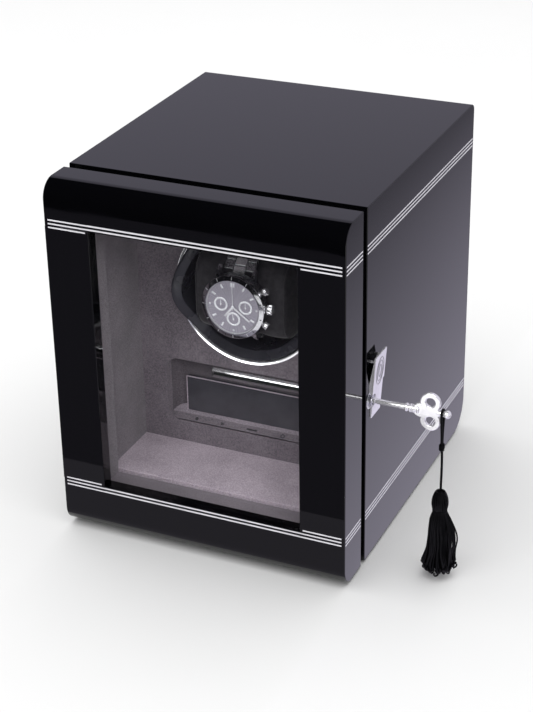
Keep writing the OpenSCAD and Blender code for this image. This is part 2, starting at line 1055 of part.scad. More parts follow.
module escutcheon_pins() {
    color(chrome)
        for (p = [[plate_y0 + 3, plate_z1 - 4], [plate_y1 - 3, plate_z1 - 4]])
            rod_x(0.8, hw, hw + 2.2, p[0], p[1]);
}

module lock_plug() {
    color([0.8, 0.7, 0.45])
        difference() {
            union() {
                rod_x(plug_r, wall_x - 0.1, hw + 1.6, key_y, key_z);
                rod_x(2, wall_x - 2.8, wall_x, key_y, key_z);
            }
            rod_x(keyway_r, wall_x + 2, hw + 3, key_y, key_z);
            block(wall_x + 2, hw + 3, key_y - 0.55, key_y + 0.55, key_z - 3, key_z);
        }
}

// Cam on the inner end of the plug; it points up when the lock is open
module lock_cam() {
    color(steel)
        difference() {
            along_x(wall_x - 0.4 - cam_t, wall_x - 0.4) {
                translate([key_y, key_z])
                    circle(4);
                translate([key_y - 3, key_z])
                    square([6, 16]);
            }
            rod_x(2, wall_x - 5, wall_x + 1, key_y, key_z);
        }
}

// Key with collars on its shank, a bit, and a three lobed bow
module key() {
    color(chrome) {
        rod_x(key_r, wall_x + 4, bow_x - 6, key_y, key_z);
        for (x = [22, 24.5, 27, 29.5])
            rod_x(2.6, hw + x, hw + x + 1.3, key_y, key_z);
        rod_x(2.2, hw + 2, hw + 3.2, key_y, key_z);
        block(wall_x + 5, wall_x + 10, key_y - 0.5, key_y + 0.5, key_z - 2.9, key_z - 1);
        difference() {
            along_y(key_y - 1.2, key_y + 1.2)
                translate([bow_x, key_z]) {
                    for (s = [-1, 1])
                        translate([2, s * 6])
                            circle(5.8);
                    translate([-4.6, 0])
                        circle(4);
                    translate([2, 0])
                        circle(5.4);
                    translate([6.2, 0])
                        circle(2);
                }
            for (s = [-1, 1])
                rod_y(2.9, key_y - 3, key_y + 3, bow_x + 2, key_z + s * 6);
        }
        rod_x(neck_r, bow_x + 6, neck_end, key_y, key_z);
        translate([neck_end + 1.2, key_y, key_z])
            sphere(r = 2.4);
    }
}

// ---- tassel ----

// Sides and rings of the cord's tube
function route_point(i) = [cord_x, key_y + cord_route[i][0], key_z + cord_route[i][1]];
function route_dir(i) =
    let (last = len(cord_route) - 1,
         d = route_point(min(i + 1, last)) - route_point(max(i - 1, 0)))
    d / norm(d);
function tube_ring(i) =
    let (d = route_dir(i), side = cross([1, 0, 0], d))
    [for (k = [0:tube_n - 1])
        route_point(i) + cord_r * (cos(k * 360 / tube_n) * [1, 0, 0] + sin(k * 360 / tube_n) * side)];

module tassel_cord() {
    rings = len(cord_route);
    points = [for (i = [0:rings - 1]) each tube_ring(i)];
    walls = [for (i = [0:rings - 2])
        for (k = [0:tube_n - 1])
            [i * tube_n + k, i * tube_n + (k + 1) % tube_n,
             (i + 1) * tube_n + (k + 1) % tube_n, (i + 1) * tube_n + k]];
    ends = [[for (k = [0:tube_n - 1]) tube_n - 1 - k],
            [for (k = [0:tube_n - 1]) (rings - 1) * tube_n + k]];
    color([0.02, 0.02, 0.02])
        polyhedron(points = points, faces = concat(walls, ends), convexity = 8);
}

// Bound head and the hanging threads under it
module tassel_skirt() {
    color([0.02, 0.02, 0.02])
        translate([cord_x, key_y, 0])
            rotate_extrude($fn = 48)
                polygon([[0, 2.5], [9, 2.5], [11.5, 11], [8.5, 33], [5.5, 40], [5, 43],
                         [6, 48], [5, 53], [2, head_top], [0, head_top]]);
}

left_side_panel();
right_side_panel();
top_panel();
bottom_panel();
back_panel();
back_panel_screws();
corner_blocks();
neck_frame();
left_inlays();
right_inlays();
lining_left();
lining_right();
lining_ceiling();
lining_floor();
floor_plinth();
fascia_panel();
aperture_ring();
console_tray();
display_window();
display_module();
light_bar();
console_markings();
front_plate();
rear_plate();
plate_posts();
plate_screws();
shaft_bushes();
drive_motor();
control_board();
dc_jack();
foot_pads();
case_hinge_leaves();
hinge_pins();
lock_housing();
escutcheon();
escutcheon_pins();
door_top_rail();
door_bottom_rail();
door_left_stile();
door_right_stile();
door_front_inlays();
door_side_inlays();
door_glass();
glass_keeper();
door_hinge_leaves();
strike_plate();
rotor_cup();
rotor_shaft();
rotor_gear();
motor_pinion();
watch_cushion();
watch_case();
watch_dial();
watch_crystal();
watch_bracelet();
lock_plug();
lock_cam();
key();
tassel_cord();
tassel_skirt();
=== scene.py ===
"""Looks of the watch winder box: lacquered case, suede lining, rotor, watch, lock, key and tassel."""
import json
import random
from math import atan2, cos, pi, radians, sin, sqrt

import bmesh
import bpy
from mathutils import Matrix, Vector

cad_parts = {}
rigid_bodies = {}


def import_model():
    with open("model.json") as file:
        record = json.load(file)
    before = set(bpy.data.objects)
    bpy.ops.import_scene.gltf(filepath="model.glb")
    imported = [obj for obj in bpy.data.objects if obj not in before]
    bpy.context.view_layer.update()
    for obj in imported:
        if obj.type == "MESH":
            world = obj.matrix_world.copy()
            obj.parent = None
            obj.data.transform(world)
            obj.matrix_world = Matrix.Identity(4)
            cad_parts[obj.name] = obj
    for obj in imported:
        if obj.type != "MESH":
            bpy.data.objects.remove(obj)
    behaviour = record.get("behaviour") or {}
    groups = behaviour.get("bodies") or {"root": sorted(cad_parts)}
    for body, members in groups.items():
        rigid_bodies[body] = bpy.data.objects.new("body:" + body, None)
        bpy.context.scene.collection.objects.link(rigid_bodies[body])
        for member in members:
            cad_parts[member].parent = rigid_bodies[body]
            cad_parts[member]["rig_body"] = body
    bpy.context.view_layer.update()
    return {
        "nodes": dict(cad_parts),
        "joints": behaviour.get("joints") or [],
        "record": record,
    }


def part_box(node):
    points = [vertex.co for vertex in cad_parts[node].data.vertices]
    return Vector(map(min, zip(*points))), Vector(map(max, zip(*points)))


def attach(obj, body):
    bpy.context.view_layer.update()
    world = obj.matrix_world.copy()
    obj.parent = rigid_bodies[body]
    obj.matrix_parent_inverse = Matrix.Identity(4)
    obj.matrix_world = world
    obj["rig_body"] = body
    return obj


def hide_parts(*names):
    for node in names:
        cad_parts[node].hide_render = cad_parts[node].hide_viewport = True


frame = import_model()

MM = 0.001
NODES = frame["nodes"]
JOINTS = {j["name"]: j for j in frame["joints"]}
SLOT_OF = {p["node"]: p["material_slot"] for p in frame["record"]["subparts"]}
TAU = 2 * pi
GOLDEN_ANGLE = 2.39996
TOL = 0.02 * MM

# Places that several pieces share, read from the frame
PANEL_LO, PANEL_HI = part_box("right_side_panel")
HALF_W, TOP = PANEL_HI.x, PANEL_HI.z
Y_CASE, Y_BACK = PANEL_LO.y, PANEL_HI.y
Y_FRONT, Y_DOOR = (end.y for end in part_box("door_top_rail"))
WIN_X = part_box("door_right_stile")[0].x
WIN_Z0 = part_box("door_bottom_rail")[1].z
WIN_Z1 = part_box("door_top_rail")[0].z
FASCIA_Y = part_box("fascia_panel")[0].y
FLOOR_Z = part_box("foot_pads")[0].z
ROTOR = Vector(JOINTS["rotor_spin"]["pos_m"])
KEY_AXIS = Vector(JOINTS["lock_turn"]["pos_m"])


def add_object(name, data):
    made = bpy.data.objects.new(name, data)
    bpy.context.scene.collection.objects.link(made)
    return made


# ---- camera ----

def make_camera():
    data = bpy.data.cameras.new("camera")
    data.sensor_width = 36
    data.lens = 89.12
    data.shift_x = 0.0372
    data.shift_y = -0.0365
    data.clip_start = 0.05
    camera = add_object("camera", data)
    camera.location = (0.406883, -0.900902, 0.588628)
    camera.rotation_euler = (1.113, 0.023, 0.433)
    bpy.context.scene.camera = camera


make_camera()


# ---- node materials ----

def node_adder(tree):
    """A function that adds a node to the tree, with its inputs as plain values or as links."""
    def add(kind, inputs=(), **settings):
        node = tree.nodes.new("ShaderNode" + kind)
        for key, value in settings.items():
            setattr(node, key, value)
        for key, value in dict(inputs).items():
            if isinstance(value, bpy.types.NodeSocket):
                tree.links.new(value, node.inputs[key])
            else:
                node.inputs[key].default_value = value
        return node

    return add


def new_material(name, **values):
    """A Principled material with plain values, and functions that add nodes to it and link them to it."""
    mat = bpy.data.materials.new(name)
    mat.use_nodes = True
    tree = mat.node_tree
    shader = tree.nodes["Principled BSDF"]
    for key, value in values.items():
        shader.inputs[key.replace("_", " ")].default_value = value

    def link(socket, key):
        tree.links.new(socket, shader.inputs[key])

    return mat, node_adder(tree), link


def bare_material(name):
    """A material without a shader, and the functions that add nodes to it and set what its surface shows."""
    mat = bpy.data.materials.new(name)
    mat.use_nodes = True
    tree = mat.node_tree
    tree.nodes.remove(tree.nodes["Principled BSDF"])

    def show(node):
        tree.links.new(node.outputs[0], tree.nodes["Material Output"].inputs["Surface"])

    return mat, node_adder(tree), show


def noise(add, scale, detail=3.0, rough=0.55, stretch=None):
    """Noise in the piece's own space; scale is in cells per metre, stretch scales the axes."""
    vector = add("TexCoord").outputs["Object"]
    if stretch:
        vector = add("Mapping", {"Vector": vector, "Scale": stretch}).outputs["Vector"]
    made = add("TexNoise", {"Vector": vector, "Scale": scale, "Detail": detail, "Roughness": rough})
    return made.outputs["Fac"]


def spread(add, value, low, high, start=0.35, end=0.65):
    """A value between start and end, brought to low..high."""
    ends = {"From Min": start, "From Max": end, "To Min": low, "To Max": high}
    return add("MapRange", {"Value": value, **ends}).outputs["Result"]


def blend_colours(add, value, dark, light, start=0.3, end=0.7):
    ramp = add("ValToRGB", {"Fac": value})
    ramp.color_ramp.elements[0].position = start
    ramp.color_ramp.elements[1].position = end
    ramp.color_ramp.elements[0].color = (*dark, 1)
    ramp.color_ramp.elements[1].color = (*light, 1)
    return ramp.outputs["Color"]


def bump(add, link, height, distance, strength=1.0):
    made = add("Bump", {"Height": height, "Distance": distance, "Strength": strength})
    link(made.outputs["Normal"], "Normal")


def lacquer_material():
    """Polished black lacquer: a faint orange peel and polishing haze under a clear gloss."""
    mat, add, link = new_material("lacquer", Base_Color=(0.0009, 0.0009, 0.0013, 1), IOR=1.5)
    link(spread(add, noise(add, 35, 4), 0.012, 0.05), "Roughness")
    bump(add, link, noise(add, 260, 2), 0.004 * MM, 0.5)
    return mat


def satin_material(name, colour, low, high, grain, depth):
    """A plain moulded or painted surface with a fine grain."""
    mat, add, link = new_material(name)
    dark = tuple(c * 0.75 for c in colour)
    link(blend_colours(add, noise(add, 90, 3), dark, colour), "Base Color")
    link(spread(add, noise(add, grain / 6, 3), low, high), "Roughness")
    bump(add, link, noise(add, grain, 2), depth)
    return mat


def suede_material(name, dark, light, facing_shade=None):
    """Brushed suede with a fibre grain; the last argument, when given, paints shade by facing: how light its
    upright and its level faces look.
    """
    mat, add, link = new_material(name, Sheen_Weight=0.45, Sheen_Roughness=0.45, Specular_IOR_Level=0.15)
    patches = noise(add, 40, 4, 0.6)
    fibres = noise(add, 1500, 3, 0.7)
    faint = spread(add, patches, 0.43, 0.57)
    mixed = add("Math", {0: faint, 1: spread(add, fibres, -0.2, 0.2)}, operation="ADD").outputs[0]
    colour = blend_colours(add, mixed, dark, light, 0.28, 0.72)
    # Painted shade: upright faces darkened and level faces lightened, as if lit from above
    if facing_shade:
        facing = add("SeparateXYZ", {0: add("TexCoord").outputs["Normal"]}).outputs["Z"]
        share = spread(add, facing, *facing_shade, 0.05, 0.5)
        colour = add("VectorMath", {0: colour, 3: share}, operation="SCALE").outputs[0]
    link(colour, "Base Color")
    link(spread(add, patches, 0.82, 0.98), "Roughness")
    bump(add, link, fibres, 0.12 * MM, 0.7)
    return mat


def metal_material(name, colour, low, high, stretch=None, scale=600, depth=0.0, metallic=1.0):
    """A plated or brushed metal with wear in its colour and a grain in its polish."""
    mat, add, link = new_material(name, Metallic=metallic)
    worn = tuple(c * 0.82 for c in colour)
    link(blend_colours(add, noise(add, scale / 8, 3), worn, colour, 0.25, 0.6), "Base Color")
    grain = noise(add, scale, 3, 0.6, stretch)
    link(spread(add, grain, low, high), "Roughness")
    if depth:
        bump(add, link, grain, depth, 0.6)
    return mat


def glass_material():
    """A thin clear pane: what is behind it shows through, with a mirror reflection by angle."""
    mat, add, show = bare_material("glass")
    clear = add("BsdfTransparent", {"Color": (0.965, 0.97, 0.97, 1)})
    gloss = add("BsdfGlossy", {"Roughness": 0.02})
    fresnel = add("Fresnel", {"IOR": 1.42}).outputs[0]
    # A pane is left freely from within, so only its outward side reflects
    outward = spread(add, add("NewGeometry").outputs["Backfacing"], 1.0, 0.0, 0.0, 1.0)
    reflected = add("Math", {0: fresnel, 1: outward}, operation="MULTIPLY").outputs[0]
    show(add("MixShader", {0: reflected, 1: clear.outputs[0], 2: gloss.outputs[0]}))
    return mat


def pcb_material():
    """Black solder mask with the tracks showing faintly under it."""
    mat, add, link = new_material("pcb", Coat_Weight=0.3)
    place = add("TexCoord").outputs["Object"]
    tracks = add("TexBrick", {
        "Vector": place, "Scale": 260,
        "Color1": (0.008, 0.01, 0.009, 1), "Color2": (0.012, 0.014, 0.013, 1),
        "Mortar": (0.03, 0.036, 0.032, 1), "Mortar Size": 0.03,
    })
    link(tracks.outputs["Color"], "Base Color")
    link(spread(add, noise(add, 300), 0.3, 0.5), "Roughness")
    return mat


def dial_material():
    """Dark dial with a sunburst: fine grain that runs out from the centre."""
    mat, add, link = new_material("dial", Metallic=0.1)
    place = add("TexCoord").outputs["Object"]
    parts = add("SeparateXYZ", {"Vector": place})
    up = add("Math", {0: parts.outputs["Z"], 1: ROTOR.z}, operation="SUBTRACT").outputs[0]
    angle = add("Math", {0: up, 1: parts.outputs["X"]}, operation="ARCTAN2").outputs[0]
    rays = add("TexNoise", {"W": angle, "Scale": 26, "Detail": 4}, noise_dimensions="1D").outputs["Fac"]
    link(blend_colours(add, rays, (0.36, 0.33, 0.4), (0.51, 0.475, 0.55)), "Base Color")
    link(spread(add, rays, 0.28, 0.45), "Roughness")
    return mat


def thread_material():
    """Black rayon thread: twisted strands with a soft sheen."""
    mat, add, link = new_material("thread", Specular_IOR_Level=0.14)
    dark, light = (0.0008, 0.0008, 0.001), (0.003, 0.003, 0.0036)
    link(blend_colours(add, noise(add, 500, 3), dark, light), "Base Color")
    link(spread(add, noise(add, 900), 0.38, 0.6), "Roughness")
    twist = add("TexWave", {"Vector": add("TexCoord").outputs["Object"], "Scale": 420, "Distortion": 2.0},
                bands_direction="DIAGONAL").outputs["Fac"]
    bump(add, link, twist, 0.05 * MM, 0.6)
    return mat


def velvet_material():
    """Dark grey velvet of the watch cushion."""
    mat, add, link = new_material("cushion", Sheen_Weight=0.5, Sheen_Roughness=0.3, Specular_IOR_Level=0.2)
    link(blend_colours(add, noise(add, 240, 4), (0.03, 0.028, 0.032), (0.056, 0.052, 0.058)), "Base Color")
    link(spread(add, noise(add, 900), 0.7, 0.95), "Roughness")
    bump(add, link, noise(add, 3200, 2), 0.08 * MM, 0.6)
    return mat


def fibreboard_material():
    """Raw fibreboard, where the lacquer ends."""
    mat, add, link = new_material("board")
    link(blend_colours(add, noise(add, 700, 5, 0.7), (0.33, 0.22, 0.13), (0.6, 0.45, 0.3)), "Base Color")
    link(spread(add, noise(add, 300), 0.7, 0.9), "Roughness")
    bump(add, link, noise(add, 1500, 3), 0.08 * MM, 0.5)
    return mat


BRUSH_Z = (1, 1, 0.04)
SUEDE_TONES = (0.1, 0.085, 0.1), (0.25, 0.215, 0.245)
MATERIALS = {
    "lacquer": lacquer_material(),
    "groove_black": satin_material("groove_black", (0.006, 0.006, 0.007), 0.35, 0.5, 1800, 0.02 * MM),
    "suede": suede_material("suede", *SUEDE_TONES),
    # suede_floor is a lighter copy of the lining suede: its extra lightness is painted light falling from
    # above
    "suede_floor": suede_material("suede_floor", (0.27, 0.225, 0.26), (0.62, 0.52, 0.6)),
    "board": fibreboard_material(),
    "inlay": metal_material("inlay", (0.76, 0.75, 0.79), 0.3, 0.45, None, 900, 0.01 * MM, 0.25),
    "chrome": metal_material("chrome", (0.93, 0.92, 0.95), 0.06, 0.14, None, 300, 0.0, 0.82),
    "steel": metal_material("steel", (0.66, 0.67, 0.69), 0.2, 0.34, BRUSH_Z, 2400, 0.01 * MM),
    "brass": metal_material("brass", (0.78, 0.6, 0.3), 0.22, 0.36, BRUSH_Z, 1800, 0.01 * MM),
    "glass": glass_material(),
    "display": satin_material("display", (0.066, 0.064, 0.076), 0.06, 0.12, 300, 0.002 * MM),
    "marking": satin_material("marking", (0.035, 0.032, 0.038), 0.6, 0.8, 2500, 0.01 * MM),
    "cup_plastic": satin_material("cup_plastic", (0.042, 0.041, 0.052), 0.2, 0.3, 300, 0.004 * MM),
    "back_plastic": satin_material("back_plastic", (0.028, 0.028, 0.03), 0.45, 0.6, 1400, 0.05 * MM),
    "gear_plastic": satin_material("gear_plastic", (0.8, 0.8, 0.76), 0.35, 0.5, 900, 0.01 * MM),
    "pcb": pcb_material(),
    "cushion": velvet_material(),
    "dial": dial_material(),
    "pad": satin_material("pad", (0.74, 0.73, 0.71), 0.75, 0.95, 1500, 0.08 * MM),
    "thread": thread_material(),
}

for node_name, cad_object in NODES.items():
    cad_object.data.materials.clear()
    cad_object.data.materials.append(MATERIALS[SLOT_OF[node_name]])
# The brass lock housing is plated where it shows, and the tray's suede gets painted shade: darker on its
# upright faces, lighter on its level ones
NODES["lock_housing"].data.materials[0] = MATERIALS["chrome"]
NODES["console_tray"].data.materials[0] = suede_material("suede_tray_painted_shade", *SUEDE_TONES, facing_shade=(0.6, 1.6))


# ---- mesh helpers ----

def rotation(degrees, axis):
    return Matrix.Rotation(radians(degrees), 4, axis)


def finish_mesh(bm, name, slot, body, replaced=(), sharp=40, flat_faces=True):
    """Turns a bmesh into a piece: its shading, finish, body and the CAD nodes that it stands for."""
    bmesh.ops.recalc_face_normals(bm, faces=bm.faces)
    for face in bm.faces:
        face.smooth = True
    for edge in bm.edges:
        edge.smooth = len(edge.link_faces) == 2 and edge.calc_face_angle(0) < radians(sharp)
    mesh = bpy.data.meshes.new(name)
    bm.to_mesh(mesh)
    bm.free()
    mesh.materials.append(MATERIALS[slot])
    piece = add_object(name, mesh)
    if flat_faces:
        weights = piece.modifiers.new("face weighted normals", "WEIGHTED_NORMAL")
        weights.keep_sharp = True
    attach(piece, body)
    if replaced:
        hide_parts(*replaced)
    return piece


def mm(points, start=0.0):
    """A profile of (radius, height) in millimetres, with its heights from start."""
    return [(a * MM, start + b * MM) for a, b in points]


def polar(radius, angle):
    return radius * cos(angle), radius * sin(angle)


def circle(radius, steps):
    return [polar(radius, TAU * k / steps) for k in range(steps)]


def lathe(bm, profile, place, steps=96):
    """Turns a profile of (radius, height) points; place(x, y, height) gives the point in the frame."""
    on_axis = 1e-7
    rings = []
    for radius, height in profile:
        points = [(0, 0)] if radius < on_axis else circle(radius, steps)
        rings.append([bm.verts.new(place(x, y, height)) for x, y in points])
    skin(bm, rings)


def join_rings(bm, a, b):
    """Faces between two rings of as many points, or between a ring and one point."""
    count = max(len(a), len(b))
    for k in range(count):
        corners = [a[k % len(a)], a[(k + 1) % len(a)], b[(k + 1) % len(b)], b[k % len(b)]]
        unique = list(dict.fromkeys(corners))
        if len(unique) > 2:
            bm.faces.new(unique)


def skin(bm, rings):
    for a, b in zip(rings, rings[1:]):
        join_rings(bm, a, b)


def arc(cx, cy, radius, start, end, steps):
    """Points of an arc, angles in degrees."""
    turns = [polar(radius, radians(start + (end - start) * k / steps)) for k in range(steps + 1)]
    return [(cx + x, cy + y) for x, y in turns]


def round_over(bm, edges, radius, segments):
    return bmesh.ops.bevel(bm, geom=edges, offset=radius, segments=segments, profile=0.5, affect="EDGES")


def rounded_block(bm, size, matrix, radius, segments=2):
    """A block with eased edges, placed by a matrix."""
    made = bmesh.ops.create_cube(bm, size=1)["verts"]
    for vert in made:
        vert.co = Vector((vert.co.x * size[0], vert.co.y * size[1], vert.co.z * size[2]))
    edges = list({e for v in made for e in v.link_edges})
    bevelled = round_over(bm, edges, radius, segments)
    verts = {v for v in bevelled["verts"]} | {v for v in made if v.is_valid}
    for vert in verts:
        vert.co = matrix @ vert.co


def sweep(bm, points, radius, sides=8, closed_ends=True):
    """A round tube along points; radius is one number or one for each point."""
    points = [Vector(p) for p in points]
    radii = radius if isinstance(radius, (list, tuple)) else [radius] * len(points)
    side = None
    rings = []
    for i, point in enumerate(points):
        ahead = (points[min(i + 1, len(points) - 1)] - points[max(i - 1, 0)]).normalized()
        if side is None:
            side = ahead.orthogonal().normalized()
        side = (side - side.dot(ahead) * ahead).normalized()
        other = ahead.cross(side)
        rings.append([bm.verts.new(point + radii[i] * (x * side + y * other)) for x, y in circle(1, sides)])
    skin(bm, rings)
    if closed_ends:
        bm.faces.new(rings[0])
        bm.faces.new(rings[-1])


def smooth_path(points, steps):
    """Catmull-Rom points through a given route."""
    points = [Vector(p) for p in points]
    made = []
    for i in range(len(points) - 1):
        a, b = points[max(i - 1, 0)], points[i]
        c, d = points[i + 1], points[min(i + 2, len(points) - 1)]
        for k in range(steps):
            t = k / steps
            made.append(0.5 * (2 * b + (c - a) * t + (2 * a - 5 * b + 4 * c - d) * t * t
                               + (3 * b - a - 3 * c + d) * t ** 3))
    return made + [points[-1]]


def eased(node, slot, width, chosen, cuts=(), segments=3):
    """A copy of a CAD node with its chosen edges rounded; cuts are planes that split its faces first."""
    bm = bmesh.new()
    bm.from_mesh(NODES[node].data)
    bmesh.ops.remove_doubles(bm, verts=bm.verts, dist=0.001 * MM)
    bmesh.ops.dissolve_limit(bm, angle_limit=radians(0.4), verts=bm.verts, edges=bm.edges)
    for point, normal in cuts:
        everything = bm.verts[:] + bm.edges[:] + bm.faces[:]
        bmesh.ops.bisect_plane(bm, geom=everything, plane_co=point, plane_no=normal)
    bm.normal_update()
    edges = [
        e for e in bm.edges
        if len(e.link_faces) == 2 and e.calc_face_angle(0) > radians(35)
        and chosen((e.verts[0].co + e.verts[1].co) / 2, e.verts[0].co, e.verts[1].co)
    ]
    round_over(bm, edges, width, segments)
    return finish_mesh(bm, node + "_finished", slot, NODES[node]["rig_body"], [node])


def near(a, b, tol=TOL):
    return abs(a - b) < tol


# ---- tassel and its cord, placed around the key's axis ----

CORD_X = JOINTS["tassel_hang"]["pos_m"][0]
CORD_D = 1.5 * MM
CORD_ROUTE = [(0.6, -51), (0.5, -47), (0.7, -43), (0.9, -39), (1.0, -35), (0.9, -31),
              (0.7, -27), (0.65, -23), (0.65, -19), (0.75, -15), (1.1, -11), (1.7, -7), (2.25, -3),
              (2.4, -0.5), (2.1, 1.2), (1.2, 2.1), (0, 2.4), (-1.2, 2.1), (-2.1, 1.2), (-2.4, -0.5),
              (-2.25, -3), (-1.7, -7), (-1.1, -11), (-0.75, -15), (-0.65, -19), (-0.6, -22)]


def make_cord():
    """The cord: from the tassel's head up, over the key's neck and down to its knot."""
    route = smooth_path([(CORD_X, KEY_AXIS.y + y * MM, KEY_AXIS.z + z * MM) for y, z in CORD_ROUTE], 3)
    data = bpy.data.curves.new("tassel_cord_line", "CURVE")
    data.dimensions = "3D"
    data.bevel_depth = CORD_D / 2
    data.bevel_resolution = 3
    data.use_fill_caps = True
    spline = data.splines.new("POLY")
    spline.points.add(len(route) - 1)
    for point, place in zip(spline.points, route):
        point.co = (*place, 1)
    data.materials.append(MATERIALS["thread"])
    piece = add_object("tassel_cord_line", data)
    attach(piece, "tassel")
    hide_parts("tassel_cord")
    return piece, route


def tassel_place(x, y, z):
    return Vector((CORD_X + x, KEY_AXIS.y + y, z))


TASSEL_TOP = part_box("tassel_skirt")[1].z
TASSEL_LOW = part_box("tassel_skirt")[0].z
TASSEL_NECK = TASSEL_TOP - 13.5 * MM
WRAP_R = 4 * MM
SKIRT_LIMIT = 10.8 * MM
SKIRT_THREADS = 230
LOOSE_THREADS = 8


def make_tassel_head():
    """The bound head: cords laid side by side over a ball."""
    bm = bmesh.new()
    strands = 26
    for k in range(strands):
        angle = TAU * k / strands
        points = []
        for i in range(13):
            t = i / 12
            height = TASSEL_TOP - 0.4 * MM - t * 12.6 * MM
            radius = (1.0 + 3.4 * sin(pi * min(1, t * 0.72 + 0.08)) ** 0.7) * MM
            turn = angle + 0.12 * sin(3 * t + k)
            points.append(tassel_place(*polar(radius, turn), height))
        sweep(bm, points, 0.62 * MM, 6)
    core = [(0, 0), (1.8, -1.2), (3.7, -5), (3.8, -9), (3.3, -13.5), (0, -13.5)]
    lathe(bm, mm(core, TASSEL_TOP), tassel_place, 24)
    return finish_mesh(bm, "tassel_head", "thread", "tassel", flat_faces=False)


def make_tassel_wrap():
    """Thread wound round the neck."""
    bm = bmesh.new()
    turns, steps = 5, 20
    points = []
    for k in range(turns * steps + 1):
        height = TASSEL_NECK + 1.6 * MM - k / (turns * steps) * 3.4 * MM
        points.append(tassel_place(*polar(WRAP_R, TAU * k / steps), height))
    sweep(bm, points, 0.42 * MM, 6)
    return finish_mesh(bm, "tassel_wrap", "thread", "tassel", flat_faces=False)


SKIRT_SHAPE = [(0.0, 3.8), (0.12, 5.3), (0.3, 5.8), (0.5, 6.0), (0.7, 6.5), (0.84, 7.8), (0.93, 8.8),
               (1.0, 8.0)]


def skirt_radius(t):
    """The skirt's radius at a share t of its length, along SKIRT_SHAPE in millimetres."""
    for (t0, r0), (t1, r1) in zip(SKIRT_SHAPE, SKIRT_SHAPE[1:]):
        if t <= t1:
            return (r0 + (r1 - r0) * (t - t0) / (t1 - t0)) * MM
    return SKIRT_SHAPE[-1][1] * MM


def skirt_strand(rng, angle, share, loose):
    """One thread of the skirt: down from the neck, bunched with its neighbours and turned up at its end."""
    end = TASSEL_LOW + rng.uniform(0.8, 4.5) * MM
    clump = 0.16 * sin(5 * angle + 1.3) + rng.uniform(-0.08, 0.08)
    sway = rng.uniform(-0.2, 0.2)
    bow = rng.uniform(2.6, 4.4) * MM if loose else rng.uniform(-0.2, 0.35) * MM
    points = []
    for i in range(15):
        t = i / 14
        radius = share * skirt_radius(t) * (1 + 0.12 * t * sin(4 * angle))
        radius += bow * sin(pi * t) ** 2
        turn = angle + clump * t * t + sway * t + 0.05 * sin(11 * t + 3 * angle)
        height = TASSEL_NECK - t * (TASSEL_NECK - end)
        points.append(tassel_place(*polar(radius, turn), height))
    tip = points[-1]
    side = Vector((*polar(1, turn + sway * 6), 0))
    curl = rng.uniform(0.8, 1.9) * MM
    for k in range(1, 6):
        bend = radians(40 * k)
        rise = Vector((0, 0, 0.6 - sin(bend) * 0.9))
        points.append(tip + curl * ((1 - cos(bend)) * 0.7 * side + rise))
    for point in points:
        point.z = max(point.z, TASSEL_LOW + 0.6 * MM)
        off = Vector((point.x - CORD_X, point.y - KEY_AXIS.y, 0))
        if off.length > SKIRT_LIMIT:
            point -= off * (1 - SKIRT_LIMIT / off.length)
    return points


def make_tassel_skirt():
    """The skirt's threads, spread evenly, with a few loose ones that bow out to the right."""
    rng = random.Random(7)
    bm = bmesh.new()
    for k in range(SKIRT_THREADS):
        share = sqrt((k + 0.5) / SKIRT_THREADS)
        sweep(bm, skirt_strand(rng, k * GOLDEN_ANGLE, share, False), 0.52 * MM, 5)
    for _ in range(LOOSE_THREADS):
        sweep(bm, skirt_strand(rng, rng.uniform(-0.5, 0.6), 1.0, True), 0.5 * MM, 5)
    return finish_mesh(bm, "tassel_threads", "thread", "tassel", ["tassel_skirt"], flat_faces=False)


def make_cord_knot():
    """The small knot that ties the short end of the loop to the long strand."""
    bm = bmesh.new()
    middle = Vector((CORD_X, KEY_AXIS.y, KEY_AXIS.z - 21.5 * MM))
    turns, steps = 3, 16
    points = []
    for k in range(turns * steps + 1):
        angle = TAU * k / steps
        points.append(middle + Vector((1.15 * MM * cos(angle), 1.75 * MM * sin(angle),
                                       1.6 * MM - 3.2 * MM * k / (turns * steps))))
    sweep(bm, points, 0.55 * MM, 6)
    return finish_mesh(bm, "cord_knot", "thread", "tassel", flat_faces=False)


cord, cord_route = make_cord()
tassel_parts = [make_tassel_head(), make_tassel_wrap(), make_tassel_skirt(), make_cord_knot()]


# ---- lacquered case and door ----

EASE = 0.45 * MM
REAR_ARCS_Z = (0.0205, 0.222)
DOOR_ARCS_Z = (0.0117, TOP - 0.0117)


def both_at(a, b, x):
    return near(abs(a.x), x) and near(abs(b.x), x)


def case_cross_edge(mid, a, b):
    """The case's front edges along its top and bottom."""
    return near(mid.y, Y_CASE) and (near(mid.z, TOP) or near(mid.z, 0))


def case_side_edge(mid, a, b):
    """The side panels' outlines, with their ends of the front edges."""
    outline = mid.z < REAR_ARCS_Z[0] or mid.z > REAR_ARCS_Z[1] or near(mid.y, Y_CASE) or near(mid.y, Y_BACK)
    return both_at(a, b, HALF_W) and outline or case_cross_edge(mid, a, b)


for node_name in ("left_side_panel", "right_side_panel"):
    eased(node_name, "lacquer", EASE, case_side_edge)
for node_name in ("top_panel", "bottom_panel"):
    eased(node_name, "lacquer", EASE, case_cross_edge)


def door_edge(mid, a, b):
    """The door's outline at each side, its rear rim and the edges around the window."""
    round_ends = mid.z < DOOR_ARCS_Z[0] or mid.z > DOOR_ARCS_Z[1]
    side_outline = both_at(a, b, HALF_W) and (near(mid.y, Y_FRONT) or near(mid.y, Y_DOOR) or round_ends)
    rear_rim = near(mid.y, Y_DOOR) and (near(mid.z, TOP) or near(mid.z, 0))
    jamb = near(mid.y, Y_FRONT) and both_at(a, b, WIN_X)
    level = near(a.z, b.z) and (near(a.z, WIN_Z0) or near(a.z, WIN_Z1))
    sill = near(mid.y, Y_FRONT) and abs(mid.x) < WIN_X and level
    return side_outline or rear_rim or jamb or sill


